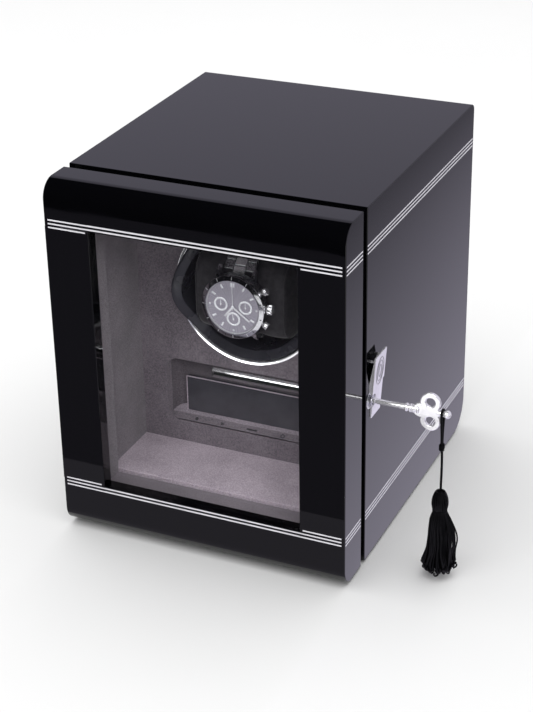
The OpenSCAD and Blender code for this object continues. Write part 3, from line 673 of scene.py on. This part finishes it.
WINDOW_CUTS = [((-WIN_X, 0, 0), (1, 0, 0)), ((WIN_X, 0, 0), (1, 0, 0))]
for node_name in ("door_top_rail", "door_bottom_rail"):
    eased(node_name, "lacquer", EASE, door_edge, WINDOW_CUTS)
for node_name in ("door_left_stile", "door_right_stile"):
    eased(node_name, "lacquer", EASE, door_edge)


# ---- suede boards ----

def any_edge(mid, a, b):
    return True


for node_name in ("lining_left", "lining_ceiling", "lining_floor", "glass_keeper"):
    eased(node_name, SLOT_OF[node_name], 0.5 * MM, any_edge)


def console_mouth(mid, a, b):
    """The front edges of the fascia's opening around the console tray."""
    low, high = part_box("console_tray")
    return near(mid.y, FASCIA_Y) and low.z < mid.z < high.z and low.x < mid.x < high.x


eased("fascia_panel", "suede", 0.7 * MM, console_mouth)
eased("display_window", "display", 0.35 * MM, any_edge, segments=2)
eased("foot_pads", "pad", 0.35 * MM, any_edge, segments=2)


def make_light_bar():
    """Chrome bar along the top of the slot, its face tipped up to the light."""
    low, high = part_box("light_bar")
    front, top = low.y, high.z
    section = mm([(3.4, -3), (0.9, -3), (0.6, -2.7), (2.35, -0.3), (2.7, 0), (3.4, 0)])
    bm = bmesh.new()
    ends = [[bm.verts.new((x, front + y, top + z)) for y, z in section] for x in (low.x, high.x)]
    join_rings(bm, ends[0], ends[1])
    bm.faces.new(ends[0])
    bm.faces.new(ends[1])
    return finish_mesh(bm, "light_bar_finished", "chrome", "case", ["light_bar"], sharp=30)


def make_display_highlight_rim():
    """Raised lip along the display's left side and top; its light floor suede is a painted highlight along
    those edges.
    """
    low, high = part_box("display_window")
    y = low.y - 0.1 * MM
    bm = bmesh.new()
    corners = [(low.x, low.z), (low.x, high.z), (high.x, high.z)]
    for (xa, za), (xb, zb) in zip(corners, corners[1:]):
        sweep(bm, [(xa, y, za), ((xa + xb) / 2, y, (za + zb) / 2), (xb, y, zb)], 0.35 * MM, 8)
    return finish_mesh(bm, "display_rim", "suede_floor", "case")


make_light_bar()
make_display_highlight_rim()


# ---- rotor cup and its trim ring ----

RING_R = (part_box("aperture_ring")[1].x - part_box("aperture_ring")[0].x) / 2
CUP_R = (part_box("rotor_cup")[1].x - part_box("rotor_cup")[0].x) / 2
CUP_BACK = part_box("rotor_cup")[1].y
CUP_FLOOR = -9 * MM
CUP_BASE = -6 * MM
CUP_WALL = 6 * MM
EAR_HALF = 33 * MM
EAR_RISE = 13 * MM


def on_rotor(x, y, h):
    """A point around the rotor's axis, at h along Y."""
    return Vector((x, h, ROTOR.z + y))


def make_rotor_cup():
    """A glossy cup whose wall rises into a round ear on each side of the watch."""
    bm = bmesh.new()
    steps = 240
    rings = []
    inner = CUP_R - CUP_WALL
    for k in range(steps):
        angle = TAU * k / steps
        high = min(1.0, abs(CUP_R * sin(angle)) / EAR_HALF)
        ear = EAR_RISE * cos(pi / 2 * high) ** 1.6
        rim = FASCIA_Y - ear - 0.6 * MM
        profile = [(CUP_R, CUP_BASE), (CUP_R, rim + 1.2 * MM)]
        profile += arc(CUP_R - 1.1 * MM, rim + 1.1 * MM, 1.1 * MM, 0, -90, 5)
        profile += [(CUP_R - 2.4 * MM, rim + 0.5 * MM), (inner + 0.35 * MM, rim + 2.6 * MM),
                    (inner, rim + 3.1 * MM), (inner, CUP_FLOOR - 4 * MM)]
        profile += arc(inner - 3 * MM, CUP_FLOOR - 3 * MM, 3 * MM, 0, 90, 5)
        profile += [(12 * MM, CUP_FLOOR)]
        rings.append([bm.verts.new(on_rotor(*polar(r, angle), y)) for r, y in profile])
    hub_front = bm.verts.new(on_rotor(0, 0, CUP_FLOOR))
    hub_back = bm.verts.new(on_rotor(0, 0, CUP_BASE))
    for a, b in zip(rings, rings[1:] + rings[:1]):
        for i in range(len(a) - 1):
            bm.faces.new([a[i], a[i + 1], b[i + 1], b[i]])
        bm.faces.new([a[-1], hub_front, b[-1]])
        bm.faces.new([b[0], hub_back, a[0]])
    hub = mm([(0, 0), (8, 0), (9, -1)], CUP_BACK) + mm([(9, -5), (0, -5)])
    lathe(bm, hub, on_rotor, 48)
    return finish_mesh(bm, "rotor_cup_finished", "cup_plastic", "rotor", ["rotor_cup"], sharp=50)


def make_aperture_ring():
    """Chrome trim: a sloping band that faces in and forward, with a small bead outside it."""
    inner = RING_R - 1.9 * MM
    front = FASCIA_Y - 0.7 * MM
    profile = [(inner, FASCIA_Y + 3.5 * MM), (inner, FASCIA_Y + 0.1 * MM), (inner + 0.1 * MM, FASCIA_Y),
               (inner + 0.6 * MM, FASCIA_Y - 0.02 * MM)]
    bead = 0.4 * MM
    profile += [(RING_R - 0.45 * MM, front)] + arc(RING_R - bead, front + bead, bead, -95, 0, 4)
    profile += [(RING_R, FASCIA_Y + 0.02 * MM), (inner, FASCIA_Y + 0.02 * MM)]
    bm = bmesh.new()
    lathe(bm, profile, on_rotor, 240)
    return finish_mesh(bm, "aperture_ring_trim", "chrome", "case", ["aperture_ring"], sharp=50)


make_rotor_cup()
make_aperture_ring()


# ---- watch on its cushion ----

CUSHION_LO, CUSHION_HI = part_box("watch_cushion")
WATCH_BACK = CUSHION_LO.y
CASE_FRONT = WATCH_BACK - 7.5 * MM
CUSHION_ROUND = 15 * MM


def on_watch(u, v, out):
    """A point on the watch: u to the right, v up, out towards the front from the case's front."""
    return Vector((u, CASE_FRONT - out, ROTOR.z + v))


def watch_piece(bm, name, slot, replaced=(), **settings):
    return finish_mesh(bm, name, slot, "watch_holder", replaced, **settings)


def turned_piece(name, slot, profile, steps, replaced=(), sharp=40):
    """A piece turned around the watch's middle, from a profile in millimetres."""
    bm = bmesh.new()
    lathe(bm, mm(profile), on_watch, steps)
    return watch_piece(bm, name, slot, replaced, sharp=sharp)


def dial_matrix(u, v, out, turn=0.0):
    """Places a flat block on the dial: its long side along v, turned clockwise by turn degrees."""
    return Matrix.Translation(on_watch(u, v, out)) @ rotation(90, "X") @ rotation(-turn, "Z")


def grown_outline(grow):
    """The cushion's round corners and sides in Y and Z, grown outwards."""
    return (CUSHION_ROUND + grow, CUSHION_LO.y - grow, CUSHION_HI.y + grow,
            CUSHION_LO.z - grow, CUSHION_HI.z + grow)


def outline_ring(grow, steps=12):
    """The cushion's outline in Y and Z, grown outwards: a rectangle with round corners."""
    radius, y0, y1, z0, z1 = grown_outline(grow)
    centres = [(y1 - radius, z1 - radius), (y0 + radius, z1 - radius), (y0 + radius, z0 + radius),
               (y1 - radius, z0 + radius)]
    return [point for k, (y, z) in enumerate(centres)
            for point in arc(y, z, radius, 90 * k, 90 * k + 90, steps)]


def make_cushion():
    """A stuffed pillow: tight under the bracelet, full beside it, gathered into a seam at each end."""
    bm = bmesh.new()
    half = CUSHION_HI.x
    # Shares of the half width, with how far the outline is grown there
    stations = [(0, -0.25), (0.2, -0.25), (0.33, -0.15), (0.4, 0.25), (0.5, 0.7), (0.62, 0.85), (0.74, 0.75),
                (0.84, 0.35), (0.9, -0.2), (0.92, -0.75), (0.94, -0.55), (0.965, -1.6), (0.985, -4.0),
                (0.995, -8.0)]
    places = [(-s, g) for s, g in reversed(stations[1:])] + stations
    rings = [[bm.verts.new((s * half, y, z)) for y, z in outline_ring(g * MM)] for s, g in places]
    skin(bm, rings)
    middle_y, middle_z = (CUSHION_LO.y + CUSHION_HI.y) / 2, ROTOR.z
    for ring, side in ((rings[0], -1), (rings[-1], 1)):
        tip = bm.verts.new((side * half, middle_y, middle_z))
        for k in range(len(ring)):
            bm.faces.new([ring[k], ring[(k + 1) % len(ring)], tip])
    bmesh.ops.remove_doubles(bm, verts=bm.verts, dist=0.001 * MM)
    piece = watch_piece(bm, "watch_cushion_pillow", "cushion", ["watch_cushion"],
                        sharp=180, flat_faces=False)
    smooth = piece.modifiers.new("soft surface", "SUBSURF")
    smooth.levels = smooth.render_levels = 1
    return piece


def make_cushion_seams():
    """A piped seam around each end of the cushion."""
    bm = bmesh.new()
    for side in (-1, 1):
        ring = [Vector((side * 0.922 * CUSHION_HI.x, y, z)) for y, z in outline_ring(-0.5 * MM, 10)]
        sweep(bm, ring + [ring[0]], 0.4 * MM, 6, closed_ends=False)
    return watch_piece(bm, "watch_cushion_seams", "cushion", flat_faces=False)


def make_watch_case():
    """Case middle and lugs."""
    bm = bmesh.new()
    back = WATCH_BACK - 0.35 * MM
    depth = CASE_FRONT - back
    middle = [(0, depth), (15 * MM, depth), (18.3 * MM, depth - 0.4 * MM)]
    middle += arc(18.45 * MM, -5.2 * MM, 1 * MM, -60, 0, 4)
    middle += mm([(19.45, -1.0), (19.2, -0.3), (18.6, 0), (17.4, 0), (17.2, 1.2)])
    lathe(bm, middle, on_watch, 128)
    lug = mm([(9, -1.0), (14, -1.2), (18, -2.2), (21.2, -4.2), (22.8, -6.2), (22.4, -7.0), (20.5, -6.6),
              (16, -5.8), (9, -5.8)])
    lug_width = 2.35 * MM
    for u0 in (-12.5 * MM, 10.15 * MM):
        for end in (-1, 1):
            faces = [[bm.verts.new(on_watch(u, end * v, h)) for v, h in lug] for u in (u0, u0 + lug_width)]
            join_rings(bm, faces[0], faces[1])
            caps = [bm.faces.new(faces[0]), bm.faces.new(faces[1])]
            round_over(bm, list({e for f in caps for e in f.edges}), 0.35 * MM, 2)
    return watch_piece(bm, "watch_case_finished", "steel", ["watch_case"], sharp=35)


def make_crown():
    """Fluted crown and two pushers: the turn around the case, radius, start, length and flutes of each."""
    bm = bmesh.new()
    buttons = [(0, 3.1, 19.2, 4.6, 30), (30, 2.2, 19.3, 4.0, 22), (-30, 2.2, 19.3, 4.0, 22)]
    flute_depth = 0.05
    for turn, radius, start, length, flutes in buttons:
        place = Matrix.Translation(on_watch(0, 0, -3.2 * MM)) @ rotation(90 - turn, "Y")
        steps = flutes * 4
        rings = []
        profile = [(0.6, 0), (0.6, 1.2), (0.92, 1.25), (1.0, 1.6), (1.0, length - 0.5), (0.9, length),
                   (0.0, length + 0.25)]
        for share, height in profile:
            ring = []
            for k in range(steps if share else 1):
                flute = flute_depth if share == 1.0 and k % 4 < 2 else 0
                around = polar(radius * share * (1 - flute) * MM, TAU * k / steps)
                ring.append(bm.verts.new(place @ Vector((*around, (start + height) * MM))))
            rings.append(ring)
        skin(bm, rings)
    return watch_piece(bm, "watch_crown_and_pushers", "chrome", sharp=25)


BEZEL_FACE = [(17.8, 3.04), (20.0, 2.37)]


def make_bezel():
    """Polished bezel with a sloping face."""
    profile = [(17.25, 0.2), (17.25, 2.9), (17.35, 3.1), (17.6, 3.12), *BEZEL_FACE,
               (20.2, 2.2), (20.25, 1.9), (20.25, 0.4), (19.9, 0.05), (18.5, 0.05)]
    bezel = turned_piece("watch_bezel", "chrome", profile, 160, sharp=50)
    bezel.data.materials[0] = metal_material("bezel_polish", (0.8, 0.79, 0.82), 0.07, 0.14, None, 300)


def make_bezel_marks():
    """Plain graduation around the bezel: light long marks with dark short ones between them."""
    (r0, h0), (r1, h1) = BEZEL_FACE
    lean = atan2(h0 - h1, r1 - r0)
    count = 12
    kinds = [("long", "inlay", 1.9, 0.34, 0), ("short", "marking", 1.1, 0.55, 0.5)]
    for name, slot, length, width, first in kinds:
        bm = bmesh.new()
        for k in range(count):
            place = (dial_matrix(0, 0, 0, 360 / count * (k + first))
                     @ Matrix.Translation((0, 18.87 * MM, 2.73 * MM)) @ Matrix.Rotation(-lean, 4, "X"))
            rounded_block(bm, (width * MM, length * MM, 0.12 * MM), place, 0.03 * MM, 1)
        watch_piece(bm, f"watch_bezel_{name}_marks", slot)


def make_dial_and_flange():
    """The dial's plate, and the sloping ring between it and the crystal."""
    plate = [(0, 1.0), (17.15, 1.0), (17.15, 1.5), (0, 1.5)]
    turned_piece("watch_dial_plate", "dial", plate, 96, ["watch_dial"])
    turned_piece("watch_flange", "inlay", [(17.2, 1.5), (16.7, 1.55), (16.65, 1.7), (17.1, 2.6)], 128)


SUB_DIALS = [(-8.0, 0.7), (8.0, 0.7), (0.0, -7.9)]


def beside(u, v):
    """A place function for lathe, around a point of the dial in millimetres."""
    return lambda x, y, h: on_watch(x + u * MM, y + v * MM, h)


def make_sub_dials():
    bm = bmesh.new()
    ring = mm([(3.25, 1.5), (3.3, 1.7), (3.45, 1.76), (4.2, 1.76), (4.35, 1.7), (4.4, 1.5)])
    for u, v in SUB_DIALS:
        lathe(bm, ring, beside(u, v), 64)
    return watch_piece(bm, "watch_sub_dial_rings", "inlay", sharp=60)


def make_markers():
    """Hour markers: one baton an hour, two at twelve, short ones beside the small dials."""
    bm = bmesh.new()
    for hour in range(12):
        turn = 30 * hour
        short = hour in (3, 6, 9)
        length = 1.1 if short else 2.6
        middle = 15.2 if short else 14.2
        for shift in ((-0.75, 0.75) if hour == 0 else (0,)):
            along = Matrix.Translation((shift * MM, middle * MM, 1.66 * MM))
            place = dial_matrix(0, 0, 0, turn) @ along
            rounded_block(bm, (1.1 * MM, length * MM, 0.4 * MM), place, 0.12 * MM)
    return watch_piece(bm, "watch_hour_markers", "inlay", sharp=30)


def make_hands():
    """Hour, minute and long seconds hand, the three small hands and their caps."""
    bm = bmesh.new()
    # Centre, turn, length, width and height above the case's front
    hands = [(0, 0, 220, 8.6, 1.15, 1.9), (0, 0, 126, 13.2, 1.0, 2.1), (0, 0, 0, 14.8, 0.36, 2.28)]
    hands += [(u, v, turn, 2.9, 0.4, 1.7) for (u, v), turn in zip(SUB_DIALS, (0, 0, -8))]
    for u, v, turn, length, width, height in hands:
        tail = 2.2 if width < 0.4 else 0.9
        place = (dial_matrix(u * MM, v * MM, 0, turn)
                 @ Matrix.Translation((0, (length - tail) / 2 * MM, height * MM)))
        rounded_block(bm, (width * MM, (length + tail) * MM, 0.14 * MM), place, 0.05 * MM, 1)
        cap = [(0, height + 0.2), (0.35, height + 0.18), (0.5, height), (0.5, height - 0.25)]
        size = 1.5 if (u, v) == (0, 0) else 0.9
        lathe(bm, mm([(r * size, h) for r, h in cap]), beside(u, v), 24)
    return watch_piece(bm, "watch_hands", "inlay", sharp=30)


def make_crystal():
    """Slightly domed crystal with a chamfered rim."""
    dome = [(17.1, 2.4), (17.1, 3.05), (16.7, 3.25), (12, 3.34), (6, 3.39), (0, 3.4)]
    turned_piece("watch_crystal_dome", "glass", dome, 96, ["watch_crystal"], sharp=60)


def band_point(distance, grow):
    """Y and Z at a distance along the band's middle line, the direction there and the line's length."""
    radius, y0, y1, z0, z1 = grown_outline(grow)
    tall, deep, bend = z1 - z0 - 2 * radius, y1 - y0 - 2 * radius, TAU / 4 * radius
    runs = [tall / 2, bend, deep, bend, tall, bend, deep, bend, tall / 2]
    total = sum(runs)
    left = distance % total
    middle = (z0 + z1) / 2
    straights = {0: ((y0, middle), 90), 2: ((y0 + radius, z1), 0), 4: ((y1, z1 - radius), -90),
                 6: ((y1 - radius, z0), 180), 8: ((y0, z0 + radius), 90)}
    corners = {1: (y0 + radius, z1 - radius, 180), 3: (y1 - radius, z1 - radius, 90),
               5: (y1 - radius, z0 + radius, 0), 7: (y0 + radius, z0 + radius, -90)}
    for i, run in enumerate(runs):
        if left <= run:
            break
        left -= run
    if i in straights:
        (y, z), heading = straights[i]
        a = radians(heading)
        return y + left * cos(a), z + left * sin(a), a, total
    cy, cz, start = corners[i]
    a = radians(start) - left / radius
    return cy + radius * cos(a), cz + radius * sin(a), a - TAU / 4, total


def make_bracelet():
    """Rows of three links; the middle ones are set half a row on from the outer ones."""
    grow = 1.65 * MM
    total = band_point(0, grow)[3]
    rows = 27
    under_case = 18.7 * MM
    pitch = total / rows
    bms = {"outer": bmesh.new(), "middle": bmesh.new()}
    for k in range(rows * 2):
        kind = "outer" if k % 2 == 0 else "middle"
        distance = pitch * k / 2
        y, z, heading, _ = band_point(distance, grow)
        if y < CUSHION_LO.y + 6 * MM and abs(z - ROTOR.z) < under_case:
            continue
        turn = Matrix.Rotation(heading, 4, "X")
        for u, width in (((-6.85, 5.9), (6.85, 5.9)) if kind == "outer" else ((0, 7.3),)):
            place = Matrix.Translation((u * MM, y, z)) @ turn
            rounded_block(bms[kind], (width * MM, pitch - 0.35 * MM, 2.3 * MM), place, 0.5 * MM, 3)
    watch_piece(bms["outer"], "watch_bracelet_outer_links", "steel", ["watch_bracelet"], sharp=60)
    watch_piece(bms["middle"], "watch_bracelet_middle_links", "chrome", sharp=60)


make_cushion()
make_cushion_seams()
make_watch_case()
make_crown()
make_bezel()
make_bezel_marks()
make_dial_and_flange()
make_sub_dials()
make_markers()
make_hands()
make_crystal()
make_bracelet()


# ---- lock plate, key ----

def on_key(x, y, h):
    """A point around the key's axis, at h along X."""
    return Vector((h, KEY_AXIS.y + x, KEY_AXIS.z + y))


def make_key():
    """Turned shank with four collars, a flat three lobed bow and a round end."""
    low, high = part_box("key")
    neck_end = high.x - 3.6 * MM
    bow_x = neck_end - 10.6 * MM
    bm = bmesh.new()
    shank = mm([(0, 0), (1.3, 0), (1.6, 0.4)], low.x)
    shank += mm([(1.6, 2.3), (2.2, 2.5), (2.2, 3.4), (1.6, 3.7)], HALF_W)
    collar_r, pitch = 1.7 * MM, 2.3 * MM
    for k in range(4):
        start = HALF_W + 21.2 * MM + pitch * k
        shank += [(collar_r, start)] + arc(collar_r, start + 1.0 * MM, 0.85 * MM, -80, 80, 6)
    shank += mm([(1.6, -10.3), (2.5, -8.6), (1.2, -4), (0, -4)], bow_x)
    lathe(bm, shank, on_key, 40)
    bit = Matrix.Translation(on_key(0, -1.8 * MM, low.x + 3.4 * MM))
    rounded_block(bm, (5 * MM, 1 * MM, 2.2 * MM), bit, 0.15 * MM)
    end = mm([(0, 5.5), (1.5, 5.5)], bow_x) + [(1.5 * MM, neck_end - 0.9 * MM)]
    ball = 2.4 * MM
    lathe(bm, end + arc(0, neck_end + ball / 2, ball, -50, 90, 10), on_key, 32)
    bow = key_bow(bow_x)
    bm.from_mesh(bow)
    bpy.data.meshes.remove(bow)
    return finish_mesh(bm, "key_finished", "chrome", "key", ["key"], sharp=35)


def key_bow(bow_x):
    """The flat bow with its rounded edges, from the outline of overlapping discs and two holes."""
    discs = [(2, 6, 5.8), (2, -6, 5.8), (-4.6, 0, 4), (2, 0, 5.4), (6.2, 0, 2)]
    ease = 0.5 * MM
    hole = 2.9 * MM + ease

    def reach(a):
        best = 0.5
        for cx, cz, r in discs:
            along = cx * cos(a) + cz * sin(a)
            off = r * r - (cx * cx + cz * cz - along * along)
            if off > 0:
                best = max(best, along + sqrt(off))
        return best * MM - ease

    data = bpy.data.curves.new("bow_outline", "CURVE")
    data.dimensions = "2D"
    data.fill_mode = "BOTH"
    data.extrude = 1.2 * MM - ease
    data.bevel_depth = ease
    data.bevel_resolution = 3
    steps = 120
    outlines = [[(reach(TAU * k / steps) * c, reach(TAU * k / steps) * s)
                 for k, (c, s) in enumerate(circle(1, steps))]]
    for side in (-1, 1):
        outlines.append([(2 * MM + x, side * 6 * MM - y) for x, y in circle(hole, 40)])
    for outline in outlines:
        spline = data.splines.new("POLY")
        spline.use_cyclic_u = True
        spline.points.add(len(outline) - 1)
        for point, (x, y) in zip(spline.points, outline):
            point.co = (x, y, 0, 1)
    temporary = bpy.data.objects.new("bow_outline", data)
    mesh = bpy.data.meshes.new_from_object(temporary)
    bpy.data.objects.remove(temporary)
    bpy.data.curves.remove(data)
    mesh.transform(Matrix.Translation(on_key(0, 0, bow_x)) @ rotation(90, "X"))
    return mesh


def make_lock_emblem():
    """Plain oval rings engraved on the upper half of the lock plate."""
    low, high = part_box("escutcheon")
    middle_y = (low.y + high.y) / 2
    foot_x = HALF_W + 1.2 * MM
    slope = (high.x - foot_x) / (high.z - low.z)
    middle_z = high.z - 11.5 * MM
    bm = bmesh.new()

    def on_plate(a, b):
        return Vector((foot_x + slope * (middle_z + b - low.z) + 0.02 * MM, middle_y + a, middle_z + b))

    for wide, tall in ((5.6, 8.6), (3.9, 6.6), (1.9, 3.9)):
        ring = [on_plate(wide * MM * x, tall * MM * y) for x, y in circle(1, 64)]
        sweep(bm, ring + [ring[0]], 0.13 * MM, 6, closed_ends=False)
    return finish_mesh(bm, "lock_plate_emblem", "groove_black", "case", flat_faces=False)


make_key()
eased("escutcheon", "chrome", 0.3 * MM, any_edge, segments=2)
eased("lock_plug", "steel", 0.15 * MM, any_edge, segments=2)
make_lock_emblem()


# ---- studio ----

def stage_material(name, colour, roughness):
    mat, add, link = new_material(name, Specular_IOR_Level=0.2)
    link(blend_colours(add, noise(add, 4, 3), tuple(c * 0.985 for c in colour), colour), "Base Color")
    link(spread(add, noise(add, 30, 2), roughness - 0.05, roughness + 0.05), "Roughness")
    return mat


def glow_material(name, colour, strength, across=None):
    """A card that glows by itself; across gives (x0, x1, strength at x1) for one that fades along X."""
    mat, add, show = bare_material(name)
    if across:
        x0, x1, strength_1 = across
        along = add("SeparateXYZ", {0: add("TexCoord").outputs["Object"]}).outputs["X"]
        strength = spread(add, along, strength, strength_1, x0, x1)
    show(add("Emission", {"Color": (*colour, 1), "Strength": strength}))
    return mat


def stage_sheet(name, corners, mat):
    """A flat sheet of the studio."""
    mesh = bpy.data.meshes.new(name)
    mesh.from_pydata(corners, [], [tuple(range(len(corners)))])
    mesh.materials.append(mat)
    sheet = add_object(name, mesh)
    return sheet


def reflected_card(name, corners, mat):
    """A card that shows only in reflections."""
    card = stage_sheet(name, corners, mat)
    card.visible_camera = card.visible_diffuse = False
    card.visible_shadow = card.visible_transmission = False


def cross_strip(name, left, line, mat):
    """Cards along a line of (y, z, x of the right end) points, from one left end."""
    for k, ((ya, za, xa), (yb, zb, xb)) in enumerate(zip(line, line[1:])):
        reflected_card(f"{name}_{k}", [(left, ya, za), (xa, ya, za), (xb, yb, zb), (left, yb, zb)], mat)


def lamp(name, place, aim, size, power, size_y=None):
    """A soft square light, or a rectangle with size_y, that polished faces don't mirror."""
    data = bpy.data.lights.new(name, "AREA")
    data.energy = power
    data.size = size
    if size_y:
        data.shape = "RECTANGLE"
        data.size_y = size_y
    light = add_object(name, data)
    light.location = place
    light.rotation_euler = (Vector(aim) - Vector(place)).to_track_quat("-Z", "Y").to_euler()
    light.visible_glossy = light.visible_camera = False
    return light


def make_studio():
    """Pale floor, the dark room and table that the lacquer mirrors, and the lights."""
    side = 4.0
    corners = [(x * side, y * side, FLOOR_Z) for x, y in ((-1, -1), (1, -1), (1, 1), (-1, 1))]
    floor = stage_sheet("floor", corners, stage_material("floor", (0.76, 0.76, 0.76), 0.9))
    black = glow_material("dark_card", (0.85, 0.88, 1), 0.004)
    low_dark = glow_material("low_dark_card", (0.85, 0.8, 1), 0.14)
    dim = glow_material("dim_card", (0.9, 0.85, 1), 0.36)
    side_glow = glow_material("side_card", (0.93, 0.88, 1.08), 0.88, (HALF_W, HALF_W + 0.2, 0.24))
    low = FLOOR_Z + 0.5 * MM
    # The cards on the floor end on the right where the door's flat front stops mirroring them
    near, step, turn = (-0.11, low, 0.098), (-0.178, low, 0.068), (-0.2, low, 0.06)
    cross_strip("card_near", -1.5, [near, step], dim)
    cross_strip("card_low", -1.5, [step, turn, (-0.36, low, 0.12), (-0.56, low, 0.12)], low_dark)
    cross_strip("card_far", -1.9, [(-0.56, low, 0.12), (-1.9, low, 0.12)], black)
    arch = [(-1.9, low, 1.0), (-1.9, 1.3, 1.0), (-1.2, 2.1, 1.0), (1.3, 2.2, 1.0)]
    cross_strip("card_arch", -2.4, arch, black)
    cross_strip("card_side", HALF_W + 1 * MM, [(-0.35, low, 0.9), (1.2, low, 0.9)], side_glow)
    lamp("overhead", (-0.25, -0.1, 1.8), (-0.1, 0, 0), 2.6, 27)
    aside = lamp("front_left", (-0.35, -0.85, 0.95), (0, 0, 0.08), 0.7, 2.2)
    above = lamp("front_right", (0.5, -0.8, 1.0), (0, 0, 0.08), 0.6, 7)
    for light in (aside, above):
        light_only(light, [floor], "EXCLUDE")
    # Small lights that the key's flat bow, the bezel's lower right and the trim's right end mirror
    mirrored_lamp(["key_finished"], "key_light", (0.035, -0.29, 0.012), (0.035, -0.29, 1), 0.13, 0.045)
    mirrored_lamp(["watch_bezel"], "bezel_light", (0.05, -0.26, 0.012), (0.05, -0.26, 1), 0.2, 0.12)
    mirrored_lamp(["aperture_ring_trim"],
                  "trim_light", (-0.055, -0.08, 0.14), (0.04, -0.03, 0.11), 0.06, 0.012)
    # Wider ones for the bracelet and for the other bright metal
    mirrored_lamp(["watch_bracelet_outer_links", "watch_bracelet_middle_links"],
                  "link_light", (-0.1, -0.7, 0.6), (0, 0, 0.15), 1.2, 4)
    mirrored_lamp(["aperture_ring_trim", "light_bar_finished", "watch_crown_and_pushers", "key_finished",
                   "escutcheon_finished", "watch_hour_markers", "watch_hands", "watch_sub_dial_rings"],
                  "softbox", (-0.15, -0.75, 0.72), (0, 0, 0.1), 1.4, 16, 0.7)


def mirrored_lamp(pieces, name, *settings):
    """A lamp that lights only these pieces, which mirror it."""
    light = lamp(name, *settings)
    light.visible_glossy = True
    light_only(light, [bpy.data.objects[piece] for piece in pieces])


def light_only(light, pieces, state="INCLUDE"):
    """The light falls only on these pieces, or on everything except them."""
    group = bpy.data.collections.new(light.name + "_pieces")
    for piece in pieces:
        group.objects.link(piece)
    for item in group.collection_objects:
        item.light_linking.link_state = state
    light.light_linking.receiver_collection = group


def make_world():
    """Even white surroundings, dimmer and a little cooler where they are mirrored."""
    world = bpy.data.worlds.new("studio")
    world.use_nodes = True
    tree = world.node_tree
    add = node_adder(tree)
    shown = tree.nodes["Background"]
    shown.inputs["Color"].default_value = (0.95, 0.95, 0.95, 1)
    mirrored = add("Background", {"Color": (0.92, 0.88, 1.08, 1), "Strength": 0.5})
    glossy = add("LightPath").outputs["Is Glossy Ray"]
    mix = add("MixShader", {0: glossy, 1: shown.outputs[0], 2: mirrored.outputs[0]})
    tree.links.new(mix.outputs[0], tree.nodes["World Output"].inputs["Surface"])
    bpy.context.scene.world = world
    bpy.context.scene.view_settings.view_transform = "Standard"


make_studio()
make_world()
